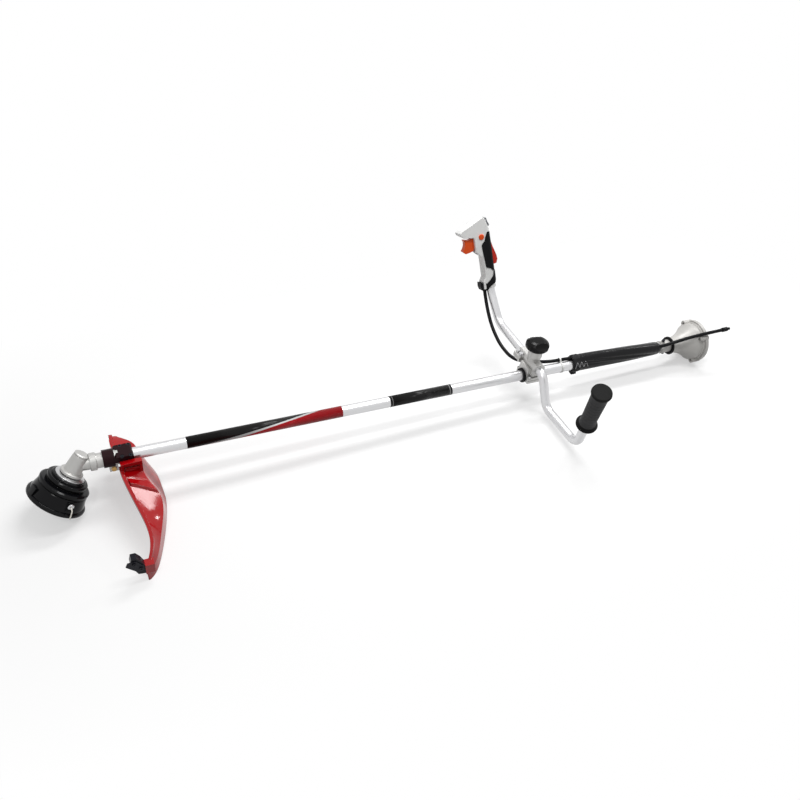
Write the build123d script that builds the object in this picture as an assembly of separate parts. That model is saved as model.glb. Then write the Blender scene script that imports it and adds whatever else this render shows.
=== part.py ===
from build123d import *
import math
import os

os.makedirs("parts", exist_ok=True)

# Straight-shaft string trimmer, drive-shaft end only, without its engine.
# Millimetres. Origin at the centre of the clutch housing's engine face, on the shaft's axis.
# +X runs rearward to the engine, +Y to the operator's right, +Z up.

# Fits
SEAT = 0.03
RUN = 0.05
LOOSE = 0.3

# Shaft tube and drive shaft
TUBE_R = 13.0
TUBE_WALL = 1.5
TUBE_LENGTH = 1496.0
TUBE_REAR = -62.0
TUBE_FRONT = TUBE_REAR - TUBE_LENGTH
TUBE_IN = TUBE_R - TUBE_WALL
DRIVE_R = 4.0
DRIVE_SQUARE = 5.0
BUSH_LENGTH = 24.0
BUSH_COUNT = 5

# Clutch housing and drum
FLANGE_R = 56.0
FLANGE_T = 9.0
LUG_CIRCLE_R = 50.0
LUG_R = 8.0
LUG_HOLE_R = 3.3
LUG_FRONT = -26.0
SOCKET_FRONT = -120.0
SOCKET_R = 16.5
BELL_FRONT = -86.0
DAMPER_R = 24.0
DAMPER_T = 6.0
DRUM_IN_R = 27.0
DRUM_WALL = 2.5
DRUM_DEPTH = 23.5
DRUM_BACK = -34.0
DRUM_PLATE = 2.5
DRUM_SHAFT_R = 6.0
DRUM_BEARING_R = 14.0
DRUM_BEARING_T = 8.0
DRUM_BEARING_X = (-60.0, -46.0)

# Gear case
GEAR_X = TUBE_FRONT - 42.0
GEAR_TILT = 36.0
HEAD_ROLL = -15.0
GEAR_SOCKET_R = 16.0
SOCKET_END = 84.0
GEAR_SOCKET_REAR = GEAR_X + SOCKET_END
PINION_BEARING_T = 8.0
PINION_TEETH = 14
BEVEL_TEETH = 19
GEAR_BACK = 18.0
GEAR_FACE = 0.6
MESH_GAP = 0.5
PINION_SHAFT_R = 5.0
PINION_BEARING_X = GEAR_X + 24.0
OUTPUT_R = 5.0
OUTPUT_TOP_R = 4.0
TOP_BEARING_R = 11.0
TOP_BEARING_LOW = 19.0
TOP_BEARING_T = 7.0
LOW_BEARING_R = 15.0

# Trimmer head, heights measured up the head's axis from the gear axes' crossing
HEAD_BOTTOM = -90.7
HEAD_RIM_R = 62.5
KNOB_HOLE_R = 23.0
EYELET_R = 5.0
EYELET_ANGLE = -73.0
EYELET_HEIGHT = 26.0
LINE_R = 1.3

# Handlebar
BAR_R = 11.0
BAR_WALL = 2.0
BAR_X = -520.0
BAR_Z = 34.0
BAR_LEAN = -8.0
BAR_YAW = 1.0
BAR_INNER_END = 6.0
CLAMP_LEFT = 31.0
CLAMP_RIGHT = 50.0
GRIP_ANGLE = 13.3
GRIP_Y = -241.0
GRIP_H = 8.0
GRIP_LENGTH = 136.0
GRIP_DROP = 88.0
HANDLE_X = 0.5
HANDLE_Y = 226.0
HANDLE_H = 64.0
HANDLE_ANGLE = -21.6
HANDLE_HALF = 14.5

# Guard
GUARD_T = 3.2
PAD_TOP = -15.0
BRACKET_HALF = 19.0
BRACKET_TOP = 15.5

# Throttle cable
CABLE_R = 4.5
CABLE_LIE = TUBE_R + CABLE_R + 1.4
CABLE_TWIST = 0.2634
SLEEVE_FRONT = -400.0
SLEEVE_REAR = -131.0
SLEEVE_LENGTH = SLEEVE_REAR - SLEEVE_FRONT

# Half angles of the two bevel cones, each eased by the mesh gap
shaft_angle = math.radians(90 - GEAR_TILT)
pinion_cone = math.atan2(math.sin(shaft_angle), BEVEL_TEETH / PINION_TEETH + math.cos(shaft_angle))
bevel_cone = shaft_angle - pinion_cone
ease = math.radians(MESH_GAP)
PINION_R = GEAR_BACK * math.tan(pinion_cone - ease)
BEVEL_BACK = GEAR_BACK * math.cos(bevel_cone) / math.cos(pinion_cone)
BEVEL_R = BEVEL_BACK * math.tan(bevel_cone - ease)

ALONG_X = Rot(0, 90, 0)
FRONT = Pos(GEAR_X, 0, 0)
ROLL = Rot(HEAD_ROLL, 0, 0)
HEAD = FRONT * ROLL * Rot(0, GEAR_TILT, 0)
BAR = Pos(BAR_X, 0, BAR_Z) * Rot(0, 0, BAR_YAW) * Rot(0, BAR_LEAN, 0)
CLAMP = Pos(BAR_X, 0, BAR_Z) * Rot(0, 0, BAR_YAW)
GRIP = BAR * Pos(0, GRIP_Y, GRIP_H) * Rot(GRIP_ANGLE, 0, 0)
HANDLE = BAR * Pos(HANDLE_X, HANDLE_Y, HANDLE_H) * Rot(HANDLE_ANGLE, 0, 0) * Rot(0, 0, 180)


def turned(profile):
    """Solid of revolution about Z of a closed list of (radius, height) points."""
    outline = Polyline(*[(r, 0, z) for r, z in profile], close=True)
    return revolve(make_face(outline), Axis.Z)


def ring(inner, outer, low, high):
    """Plain ring or disc about Z between two heights."""
    return turned([(inner, low), (outer, low), (outer, high), (inner, high)])


def rod(radius, low, high):
    """Plain round rod about Z between two heights."""
    return Pos(0, 0, (low + high) / 2) * Cylinder(radius, high - low)


def block(x, y, z):
    """Box from three (low, high) pairs."""
    size = [high - low for low, high in (x, y, z)]
    middle = [(high + low) / 2 for low, high in (x, y, z)]
    return Pos(*middle) * Box(*size)


def slab(points, low, high, radius=0.0):
    """Prism of an outline of (x, z) points between two y values, corners rounded by radius."""
    corners = [(x, low, z) for x, z in points]
    if radius > 0:
        outline = FilletPolyline(*corners, radius=radius, close=True)
    else:
        outline = Polyline(*corners, close=True)
    return extrude(make_face(outline), amount=high - low, dir=(0, 1, 0))


def hex_bolt(radius, length, head_radius, head_height):
    """Bolt along Z with the underside of its hexagon head at height 0."""
    head = extrude(RegularPolygon(head_radius, 6), amount=head_height)
    return rod(radius, -length, 0.2) + head


def cap_screw(radius, length, head_radius, head_height):
    """Socket-head screw along Z with the underside of its head at height 0."""
    body = rod(radius, -length, 0.2) + rod(head_radius, 0, head_height)
    socket = extrude(RegularPolygon(head_radius * 0.5, 6), amount=head_height)
    return body - Pos(0, 0, head_height * 0.45) * socket


def place(frame, point):
    """A point given in a frame, as a vector in the part's frame."""
    return (frame * Pos(*point)).position


def bend_radii(points):
    """Largest comfortable bend at each inner corner of a path."""
    points = [Vector(*p) for p in points]
    radii = []
    for before, corner, after in zip(points, points[1:], points[2:]):
        first = corner - before
        second = after - corner
        half_turn = math.radians(first.get_angle(second)) / 2
        radii.append(0.45 * min(first.length, second.length) / math.tan(half_turn))
    return radii


def swept(points, radii, radius):
    """Round bar of straight runs and tangent bends through the points."""
    path = FilletPolyline(*points, radius=radii)
    return sweep(Plane(origin=path @ 0, z_dir=path % 0) * Circle(radius), path)


def group(shapes):
    """Separate solids kept side by side in one node."""
    solids = []
    for shape in shapes:
        solids.extend(shape.solids())
    return Compound(children=solids)


nodes = {}

# Shaft tube, bushings and drive shaft
nodes["shaft_tube"] = ALONG_X * ring(TUBE_IN, TUBE_R, TUBE_FRONT, TUBE_REAR)
bush_step = TUBE_LENGTH / (BUSH_COUNT + 1)
bushings = []
for index in range(BUSH_COUNT):
    start = TUBE_FRONT + bush_step * (index + 1) - BUSH_LENGTH / 2
    bushings.append(ALONG_X * ring(DRIVE_R + RUN, TUBE_IN - SEAT, start, start + BUSH_LENGTH))
nodes["shaft_bushings"] = group(bushings)
PINION_END = PINION_BEARING_X + 2 * PINION_BEARING_T + 2
DRIVE_FRONT = PINION_BEARING_X + 4
DRIVE_REAR = DRUM_BACK - 10
drive = ALONG_X * rod(DRIVE_R, TUBE_FRONT + 14, TUBE_REAR - 6)
half = DRIVE_SQUARE / 2
drive += block((DRIVE_FRONT, TUBE_FRONT + 15), (-half, half), (-half, half))
drive += block((TUBE_REAR - 7, DRIVE_REAR), (-half, half), (-half, half))
nodes["drive_shaft"] = drive
square_hole = half + RUN

# Clutch housing, a flared bell with four bolt lugs
bell_profile = [
    (TUBE_R + SEAT, SOCKET_FRONT), (SOCKET_R, SOCKET_FRONT), (SOCKET_R, BELL_FRONT),
    (21, BELL_FRONT), (22, -74), (25, -62), (31, -49), (39, -37), (46, -28), (48.5, -25), (48.5, -14),
    (51, -13), (51, -FLANGE_T), (FLANGE_R - 1, -FLANGE_T), (FLANGE_R, -FLANGE_T + 1), (FLANGE_R, -1),
    (FLANGE_R - 1, 0), (45, 0), (45, -4), (43, -4), (43, -26), (36, -35.5), (19, -35.5), (19, -36.5),
    (DRUM_BEARING_R + SEAT, -36.5), (DRUM_BEARING_R + SEAT, -60), (10, -60), (10, TUBE_REAR),
    (TUBE_R + SEAT, TUBE_REAR),
]
bell = ALONG_X * turned(bell_profile)
lug_spots = []
for index in range(4):
    angle = math.radians(45 + 90 * index)
    lug_spots.append((LUG_CIRCLE_R * math.cos(angle), LUG_CIRCLE_R * math.sin(angle)))
inside = ALONG_X * turned([(0, -30), (40, -30), (43, -26), (43, -4), (45, -4), (45, 1), (0, 1)])
for y, z in lug_spots:
    bell += (Pos(0, y, z) * ALONG_X * rod(LUG_R, LUG_FRONT, 0)) - inside
for y, z in lug_spots:
    bell -= Pos(0, y, z) * ALONG_X * rod(LUG_HOLE_R, LUG_FRONT - 12, 1)
SCREW_SPOTS = ((-113.0, 1), (-100.0, -1))
SCREW_SEAT = 19.0
for x, side in SCREW_SPOTS:
    boss = Pos(x, 0, 0) * rod(5.5, TUBE_R + 1, SCREW_SEAT)
    bell += boss if side > 0 else Rot(180, 0, 0) * boss
for x, side in SCREW_SPOTS:
    hole = Pos(x, 0, 0) * rod(2.5 + SEAT, TUBE_R - 1, SCREW_SEAT + 1)
    bell -= hole if side > 0 else Rot(180, 0, 0) * hole
nodes["clutch_housing"] = bell
screws = []
for x, side in SCREW_SPOTS:
    screw = Pos(x, 0, SCREW_SEAT) * cap_screw(2.5, SCREW_SEAT - TUBE_R - SEAT, 4.2, 4.5)
    screws.append(screw if side > 0 else Rot(180, 0, 0) * screw)
nodes["housing_clamp_screws"] = group(screws)
damper = turned([
    (SOCKET_R + SEAT, BELL_FRONT - DAMPER_T), (DAMPER_R - 1.5, BELL_FRONT - DAMPER_T),
    (DAMPER_R, BELL_FRONT - DAMPER_T + 1.5), (DAMPER_R, BELL_FRONT - 1.5), (DAMPER_R - 1.5, BELL_FRONT),
    (SOCKET_R + SEAT, BELL_FRONT),
])
nodes["housing_damper_ring"] = ALONG_X * damper

# Clutch drum on its bearings
drum = turned([
    (0, DRUM_BACK - 28), (DRUM_SHAFT_R - 0.5, DRUM_BACK - 28), (DRUM_SHAFT_R, DRUM_BACK - 27.5),
    (DRUM_SHAFT_R, DRUM_BACK - 3.5), (9, DRUM_BACK - 3.5), (9, DRUM_BACK),
    (DRUM_IN_R + DRUM_WALL, DRUM_BACK), (DRUM_IN_R + DRUM_WALL, DRUM_BACK + DRUM_PLATE + DRUM_DEPTH),
    (DRUM_IN_R, DRUM_BACK + DRUM_PLATE + DRUM_DEPTH), (DRUM_IN_R, DRUM_BACK + DRUM_PLATE),
    (0, DRUM_BACK + DRUM_PLATE),
])
drum = ALONG_X * drum
drum -= block((DRUM_BACK - 29, DRIVE_REAR + 1), (-square_hole, square_hole), (-square_hole, square_hole))
for index in range(6):
    drum -= Rot(60 * index, 0, 0) * Pos(0, 0, 18) * ALONG_X * rod(4, DRUM_BACK - 1, DRUM_BACK + 4)
nodes["clutch_drum"] = drum
bearings = []
for x in DRUM_BEARING_X:
    bearings.append(ALONG_X * ring(DRUM_SHAFT_R + RUN, DRUM_BEARING_R, x, x + DRUM_BEARING_T))
nodes["drum_bearings"] = group(bearings)
nodes["drum_circlip"] = ALONG_X * ring(11.5, DRUM_BEARING_R, -37.9, -36.6)

# Gear case: a tapered upright barrel with a neck and split socket for the tube
CASE_LOW = -19.5
CASE_TOP = 29.0
case = HEAD * turned([
    (0, CASE_TOP), (12.5, CASE_TOP), (15.5, CASE_TOP - 1.5), (15.5, CASE_TOP - 4), (14.6, CASE_TOP - 4.4),
    (14.6, CASE_TOP - 5.4), (15.6, CASE_TOP - 5.8), (16.2, 20), (19, -13), (23, -14), (24, -15),
    (24, CASE_LOW), (0, CASE_LOW),
])
NECK_RING = (GEAR_X + 27.0, GEAR_X + 40.0)
case += ALONG_X * turned([
    (0, GEAR_X), (13.5, GEAR_X), (15.5, NECK_RING[0]), (18.4, NECK_RING[0]), (19, NECK_RING[0] + 1),
    (19, NECK_RING[1] - 1), (18.4, NECK_RING[1]), (GEAR_SOCKET_R, NECK_RING[1] + 1),
    (GEAR_SOCKET_R, GEAR_SOCKET_REAR), (0, GEAR_SOCKET_REAR),
])
LUG_X = (GEAR_X + 63.0, GEAR_X + 81.0)
SLIT_FRONT = GEAR_X + 38.0
EAR_HALF = 8.0
EAR_LOW = -28.0
case += ROLL * block(LUG_X, (-EAR_HALF, EAR_HALF), (EAR_LOW, -10))
case -= ALONG_X * rod(TUBE_R + SEAT, GEAR_X + 12, GEAR_SOCKET_REAR + 1)
case -= HEAD * rod(13.5, -7.2, TOP_BEARING_LOW - 0.4)
case -= HEAD * rod(TOP_BEARING_R + SEAT, TOP_BEARING_LOW - 0.5, TOP_BEARING_LOW + TOP_BEARING_T)
case -= HEAD * rod(LOW_BEARING_R + SEAT, CASE_LOW - 1, -7)
case -= ROLL * block((SLIT_FRONT, GEAR_SOCKET_REAR + 1), (-1, 1), (EAR_LOW - 1, -5))
EAR_BOLT_X = sum(LUG_X) / 2
EAR_BOLT_Z = -21.5
case -= ROLL * Pos(EAR_BOLT_X, 0, EAR_BOLT_Z) * Rot(90, 0, 0) * rod(2.5 + SEAT, -30, 30)
PLUG_SEAT = 17.0
PLUG_R = 3.5
plug_way = HEAD * Pos(0, PLUG_SEAT, 2) * Rot(-90, 0, 0)
case -= plug_way * rod(PLUG_R + SEAT, -8, 6)
case -= plug_way * rod(5.4, 0, 8)
nodes["gear_case"] = case
ear_bolt = hex_bolt(2.5, 2 * EAR_HALF + 6, 5.4, 4) + Pos(0, 0, -2 * EAR_HALF - 4.2) * extrude(
    RegularPolygon(5.4, 6), amount=4.2)
nodes["gear_clamp_bolt"] = ROLL * Pos(EAR_BOLT_X, -EAR_HALF, EAR_BOLT_Z) * Rot(90, 0, 0) * ear_bolt
nodes["grease_plug"] = plug_way * (rod(PLUG_R, -2.5, 0.2) + extrude(RegularPolygon(5, 6), amount=3.5))

# Pinion, bevel gear and output shaft on their bearings
pinion_tip = GEAR_X + GEAR_BACK * GEAR_FACE
pinion_back = GEAR_X + GEAR_BACK
pinion = ALONG_X * turned([
    (0, pinion_tip), (PINION_R * GEAR_FACE, pinion_tip), (PINION_R, pinion_back),
    (PINION_SHAFT_R + 1, pinion_back), (PINION_SHAFT_R + 1, PINION_BEARING_X - 0.3),
    (PINION_SHAFT_R, PINION_BEARING_X - 0.3),
    (PINION_SHAFT_R, PINION_END), (0, PINION_END),
])
pinion -= block((DRIVE_FRONT - 1, PINION_END + 1), (-square_hole, square_hole), (-square_hole, square_hole))
nodes["pinion"] = pinion
bearings = []
for index in range(2):
    x = PINION_BEARING_X + index * PINION_BEARING_T
    bearings.append(ALONG_X * ring(PINION_SHAFT_R + RUN, TUBE_R, x, x + PINION_BEARING_T))
nodes["pinion_bearings"] = group(bearings)
nodes["bevel_gear"] = HEAD * turned([
    (OUTPUT_R + SEAT, BEVEL_BACK * GEAR_FACE), (BEVEL_R * GEAR_FACE, BEVEL_BACK * GEAR_FACE),
    (BEVEL_R, BEVEL_BACK), (BEVEL_R - 2, BEVEL_BACK + 1), (OUTPUT_R + SEAT, BEVEL_BACK + 1),
])
OUTPUT_LOW = HEAD_BOTTOM + 32
OUTPUT_TOP = TOP_BEARING_LOW + TOP_BEARING_T - 0.4
nodes["output_shaft"] = HEAD * turned([
    (0, OUTPUT_LOW), (OUTPUT_R - 0.8, OUTPUT_LOW), (OUTPUT_R, OUTPUT_LOW + 0.8),
    (OUTPUT_R, BEVEL_BACK + 1.2), (OUTPUT_TOP_R, BEVEL_BACK + 1.2), (OUTPUT_TOP_R, OUTPUT_TOP),
    (0, OUTPUT_TOP),
])
nodes["output_bearings"] = group([
    HEAD * ring(OUTPUT_TOP_R + RUN, TOP_BEARING_R, TOP_BEARING_LOW, TOP_BEARING_LOW + TOP_BEARING_T),
    HEAD * ring(OUTPUT_R + RUN, LOW_BEARING_R, -16, -7),
])
nodes["output_seal"] = HEAD * ring(OUTPUT_R + RUN, LOW_BEARING_R, CASE_LOW + 0.3, -16)

# Trimmer head: stepped housing, snap-on cover, spool, winding, spring and bump knob
ADAPTER_TOP = CASE_LOW - 0.6
ADAPTER_LOW = -26.7
nodes["head_adapter"] = HEAD * turned([
    (OUTPUT_R + SEAT, ADAPTER_TOP), (18, ADAPTER_TOP), (26, ADAPTER_TOP - 2.5), (31, ADAPTER_TOP - 3.8),
    (31, ADAPTER_LOW), (OUTPUT_R + SEAT, ADAPTER_LOW),
])
base = HEAD_BOTTOM
COVER_TOP = base + 10.0
SPOOL_LOW = base + 13.0
housing = turned([
    (OUTPUT_R + SEAT, ADAPTER_LOW), (34, ADAPTER_LOW), (36, ADAPTER_LOW - 1.5), (36, base + 60),
    (41, base + 59.5), (43, base + 57.5), (43, base + 53), (41.5, base + 51.5), (40, base + 50),
    (40, base + 47.5), (50, base + 46.5), (53, base + 44), (53, base + 39), (51.5, base + 37),
    (50.5, base + 35.5), (52, base + 34), (57.5, base + 14), (58, COVER_TOP), (54.5, COVER_TOP),
    (53, base + 16), (48.5, base + 33), (47, base + 36.5), (36, base + 43), (36, base + 48),
    (32, base + 55), (11, base + 55), (11, base + 34), (OUTPUT_R + SEAT, base + 34),
])
cover = turned([
    (KNOB_HOLE_R, base + 2.5), (40, base + 1.2), (58.5, base), (61.5, base + 1), (HEAD_RIM_R, base + 3),
    (HEAD_RIM_R, base + 7), (61, base + 9), (58, COVER_TOP), (47, COVER_TOP), (46, base + 5),
    (KNOB_HOLE_R, base + 6),
])
EYELET_OUT = 57.6
eyelets = []
stubs = []
eyelet_frames = []
for turn in (EYELET_ANGLE, EYELET_ANGLE + 180):
    frame = Rot(0, 0, turn) * Pos(0, 0, base + EYELET_HEIGHT) * ALONG_X
    eyelet_frames.append(frame)
    housing += frame * (rod(EYELET_R + 2, 47, EYELET_OUT) - rod(EYELET_R, 40, 60))
    housing -= frame * rod(EYELET_R + SEAT, 40, 60)
    eyelet = turned([
        (LINE_R + LOOSE, 46.5), (EYELET_R, 46.5), (EYELET_R, EYELET_OUT), (EYELET_R + 1.6, EYELET_OUT),
        (EYELET_R + 1.6, EYELET_OUT + 1), (EYELET_R - 0.6, EYELET_OUT + 2.4),
        (LINE_R + LOOSE, EYELET_OUT + 2.4),
    ])
    eyelets.append(HEAD * frame * eyelet)
# Release tabs between the eyelets
for turn in (EYELET_ANGLE + 90, EYELET_ANGLE - 90):
    tab = block((54, 62), (-9, 9), (base + 6, base + 26)) - turned([
        (0, base + 5), (57.4 + SEAT, base + 5), (57.4 + SEAT, base + 14), (55, base + 27), (0, base + 27)])
    tab -= turned([(62.5, base), (80, base), (80, base + 40), (58.5, base + 40)])
    notch = block((50, 70), (-9 - LOOSE, 9 + LOOSE), (COVER_TOP - 0.5, base + 26 + LOOSE))
    cover += Rot(0, 0, turn) * tab
    keep = turned([(0, base), (57.4, base), (57.4, base + 14), (55, base + 27), (54, base + 40),
                   (0, base + 40)])
    housing -= Rot(0, 0, turn) * (notch - keep)
nodes["head_housing"] = HEAD * housing
nodes["head_cover"] = HEAD * cover
nodes["line_eyelets"] = group(eyelets)
SPOOL_R = 44.0
SPOOL_HUB = 16.0
spool = turned([
    (12, SPOOL_LOW), (SPOOL_R, SPOOL_LOW), (SPOOL_R, SPOOL_LOW + 2), (SPOOL_HUB, SPOOL_LOW + 2),
    (SPOOL_HUB, SPOOL_LOW + 16), (SPOOL_R, SPOOL_LOW + 16), (SPOOL_R, SPOOL_LOW + 18), (12, SPOOL_LOW + 18),
])
nodes["spool"] = HEAD * spool
nodes["line_winding"] = HEAD * turned([
    (SPOOL_HUB + SEAT, SPOOL_LOW + 2), (38, SPOOL_LOW + 2), (39.5, SPOOL_LOW + 9), (38, SPOOL_LOW + 16),
    (SPOOL_HUB + SEAT, SPOOL_LOW + 16),
])
nodes["spool_spring"] = HEAD * ring(12.6, 14.6, SPOOL_LOW + 18, base + 55)
nodes["bump_knob"] = HEAD * turned([
    (0, base - 8), (13, base - 7.5), (19, base - 5), (KNOB_HOLE_R - 0.6, base - 0.5),
    (KNOB_HOLE_R - 0.6, base + 8), (20, base + 9), (20, SPOOL_LOW), (11.9, SPOOL_LOW),
    (11.9, SPOOL_LOW + 10), (0, SPOOL_LOW + 10),
])
stub_points = [(52, 0, 0), (64, 0, 0), (73, -1, -6), (77, -2, -17)]
for frame in eyelet_frames:
    path = [place(HEAD * frame, (-drop, side, out)) for out, side, drop in stub_points]
    stubs.append(swept(path, bend_radii(path), LINE_R))
nodes["line_stubs"] = group(stubs)

# Guard bracket, two clamp halves on the tube behind the gear case
# From here to the line cutter, x is measured rearward from the gear axes' crossing
BRACKET_X = (76.0, 114.0)
upper = slab([(BRACKET_X[0], 0.4), (BRACKET_X[1], 0.4), (BRACKET_X[1], BRACKET_TOP - 3),
              (BRACKET_X[1] - 4, BRACKET_TOP), (BRACKET_X[0] + 4, BRACKET_TOP),
              (BRACKET_X[0], BRACKET_TOP - 3)], -BRACKET_HALF, BRACKET_HALF)
COLLAR_X = (53.0, BRACKET_X[0])
collar = ALONG_X * ring(GEAR_SOCKET_R, 20, *COLLAR_X)
collar -= block((COLLAR_X[0] - 1, COLLAR_X[1] + 1), (-30, 30), (-30, -7))
upper += collar
upper -= ALONG_X * rod(GEAR_SOCKET_R + SEAT, COLLAR_X[0] - 2, SOCKET_END + 0.2)
upper -= ALONG_X * rod(TUBE_R + SEAT, SOCKET_END - 1, BRACKET_X[1] + 1)
LOWER_X = (SOCKET_END + 0.3, BRACKET_X[1])
lower = block(LOWER_X, (-BRACKET_HALF, BRACKET_HALF), (PAD_TOP, -0.4))
lower -= ALONG_X * rod(TUBE_R + SEAT, LOWER_X[0] - 1, LOWER_X[1] + 1)
GUARD_BOLT_R = 2.0
GUARD_BOLTS = [(x, y) for x in (91.0, 108.0) for y in (-16.2, 16.2)]
BOLT_SEAT = 11.0
PAD_LOW = -19.0
for x, y in GUARD_BOLTS:
    upper -= Pos(x, y, 0) * rod(4.4, BOLT_SEAT, 40)
    upper -= Pos(x, y, 0) * rod(GUARD_BOLT_R + SEAT, -1, BOLT_SEAT + 1)
    lower -= Pos(x, y, 0) * rod(GUARD_BOLT_R + SEAT, -30, 1)
nodes["guard_bracket_upper"] = FRONT * upper
nodes["guard_bracket_lower"] = FRONT * lower

# Guard: a creased shell lofted across the shaft, longer on the left, with a raised front lip
# Each station: y, front edge (x, z), crease (x, z), skirt foot (x, z)
GUARD_STATIONS = [
    (85, (75, -20), (91, -22), (97, -48)),
    (63, (74, -17), (113, -20), (122, -62)),
    (40, (76, -17), (125, -20), (144, -76)),
    (18, (80, -17), (126, -20), (156, -84)),
    (-20, (81, -18), (126, -23), (162, -90)),
    (-45, (83, -22), (132, -32), (164, -98)),
    (-91, (92, -32), (150, -47), (159, -100)),
    (-152, (105, -44), (140, -64), (143, -101)),
    (-201, (107, -55), (124, -74), (126, -102)),
    (-226, (100, -62), (113, -78), (115, -103)),
    (-250, (84, -74), (92, -84), (94, -105)),
]
LIP_RISE = 5.0
LIP_WIDTH = 7.0
sections = []
for y, front, crease, foot in GUARD_STATIONS:
    xf, zf = front
    xk, zk = crease
    xo, zo = foot
    lip = min(LIP_WIDTH, 0.45 * (xk - xf))
    rise = LIP_RISE * lip / LIP_WIDTH
    outline = [
        (xf, zf + rise), (xf + lip, zf + rise), (xf + lip + 1, zf - 0.5), (xk, zk), (xo, zo),
        (xo - GUARD_T, zo), (xk - GUARD_T * 0.7, zk - GUARD_T), (xf, zf - GUARD_T),
    ]
    sections.append(make_face(Polyline(*[(x, y, z) for x, z in outline], close=True)))
guard = loft(sections)
PAD_REAR = 128.0
guard += block((LOWER_X[0], PAD_REAR), (-25, 25), (PAD_LOW - 3, PAD_TOP))
# Raised wall beside the bracket, hollowed on its outer face
WALL_Y = (-31.0, -BRACKET_HALF - 0.5)
WALL_TOP = 5.0
wall = slab([(LOWER_X[0], -38), (PAD_REAR, -38), (PAD_REAR, WALL_TOP), (LOWER_X[0], WALL_TOP - 2)], *WALL_Y)
wall -= block((90, 122), (WALL_Y[0] - 1, WALL_Y[1] - 3), (-28, -3))
guard += wall
# Wedge that rises from the wall's foot and the crease to a step across the guard
STEP = [
    [(90, -38, -23.5), (97, -67, -30), (96, -61, -20)],
    [(132, -48, -34), (148, -86, -47), (146, -80, -38)],
]
guard += loft([make_face(Polyline(*corners, close=True)) for corners in STEP])
TIP_FRONT = 88.0
guard += block((TIP_FRONT, TIP_FRONT + 18), (-248, -231), (-86, -62))
guard -= block((TIP_FRONT - 40, TIP_FRONT), (-260, -225), (-120, -40))
guard -= block((40, LOWER_X[0]), (-17, 17), (-40, 10))
guard -= block(LOWER_X, (-BRACKET_HALF - 0.5, BRACKET_HALF + 0.5), (PAD_TOP, 20))
for x, y in GUARD_BOLTS:
    guard -= Pos(x, y, 0) * rod(GUARD_BOLT_R + SEAT, -40, 0)
bolts = []
for x, y in GUARD_BOLTS:
    bolt = Pos(x, y, BOLT_SEAT) * cap_screw(GUARD_BOLT_R, BOLT_SEAT - PAD_LOW + 6, 3.8, 4)
    nut = Pos(x, y, PAD_LOW - 4) * extrude(RegularPolygon(4.2, 6), amount=4)
    bolts.append(FRONT * (bolt + nut))
for x, y in GUARD_BOLTS:
    guard -= Pos(x, y, 0) * rod(4.8, -40, PAD_LOW)
nodes["guard"] = FRONT * guard
nodes["guard_bolts"] = group(bolts)

# Line cutter on the guard's left tip
HOLDER_Y = (-246.0, -231.0)
BLADE_T = 1.8
BLADE_Y = HOLDER_Y[0] - BLADE_T
CUTTER_SCREWS = ((80.0, -66.0), (68.0, -50.0))
holder = slab([(TIP_FRONT, -86), (TIP_FRONT, -62), (82, -48), (74, -36), (64, -36), (61, -50), (66, -66),
               (74, -84)], *HOLDER_Y)
blade = slab([(85, -72), (85, -60), (72, -42), (56, -43), (52, -53), (74, -76)], BLADE_Y, HOLDER_Y[0])
cutter_screws = []
for x, z in CUTTER_SCREWS:
    hole = Pos(x, BLADE_Y, z) * Rot(90, 0, 0) * rod(2 + SEAT, -12, 3)
    blade -= hole
    holder -= hole
    cutter_screws.append(FRONT * Pos(x, BLADE_Y, z) * Rot(90, 0, 0) * cap_screw(2, 12, 3.8, 2.4))
nodes["line_cutter_holder"] = FRONT * holder
nodes["line_cutter_blade"] = FRONT * blade
nodes["cutter_screws"] = group(cutter_screws)

# Handlebar clamp: lower half, saddle, cap with boss, bolts, stud and knob
TUBE_CLAMP_X = (-542.0, -498.0)
SADDLE_GAP = 0.5
FLANGE_Y = 27.0
FLANGE_TOP = 8.0
clamp_low = ALONG_X * rod(18.5, *TUBE_CLAMP_X) + block(TUBE_CLAMP_X, (-FLANGE_Y, FLANGE_Y), (-7.5, 0))
clamp_low -= block((-560, -480), (-40, 40), (-SADDLE_GAP, 40))
clamp_low -= ALONG_X * rod(TUBE_R + SEAT, -560, -480)
saddle = block(TUBE_CLAMP_X, (-FLANGE_Y, FLANGE_Y), (SADDLE_GAP, FLANGE_TOP))
saddle += block(TUBE_CLAMP_X, (-19, 19), (SADDLE_GAP, BAR_Z - SADDLE_GAP))
SADDLE_LOW = -16.0
saddle += CLAMP * block((-16, 16), (-CLAMP_LEFT, CLAMP_RIGHT), (SADDLE_LOW, -SADDLE_GAP))
EAR_X = (-26.0, -12.0)
EAR_Y = (22.0, CLAMP_RIGHT)
EAR_T = 7.0
saddle += CLAMP * block(EAR_X, EAR_Y, (-EAR_T, -SADDLE_GAP))
cap = CLAMP * slab([(-16, SADDLE_GAP), (16, SADDLE_GAP), (16, 7), (9, 15), (-9, 15), (-16, 7)],
                   -CLAMP_LEFT, CLAMP_RIGHT)
cap += CLAMP * block(EAR_X, EAR_Y, (SADDLE_GAP, EAR_T))
BOSS_TOP = 44.0
cap += CLAMP * turned([(0, 8), (15, 8), (16, 20), (17.5, 24), (17.5, BOSS_TOP), (0, BOSS_TOP)])
bar_bore = CLAMP * Rot(90, 0, 0) * rod(BAR_R + SEAT, -60, 60)
STUD_R = 4.0
STUD_LOW = -18.0
STUD_TOP = 60.0
saddle -= bar_bore
saddle -= ALONG_X * rod(TUBE_R + SEAT, -560, -480)
saddle -= CLAMP * rod(STUD_R + SEAT, STUD_LOW, 60)
cap -= bar_bore
cap -= CLAMP * rod(STUD_R + SEAT, -20, 80)
TUBE_BOLTS = [(x, y) for x in (-535.0, -505.0) for y in (-22.5, 22.5)]
bolts = []
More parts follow.
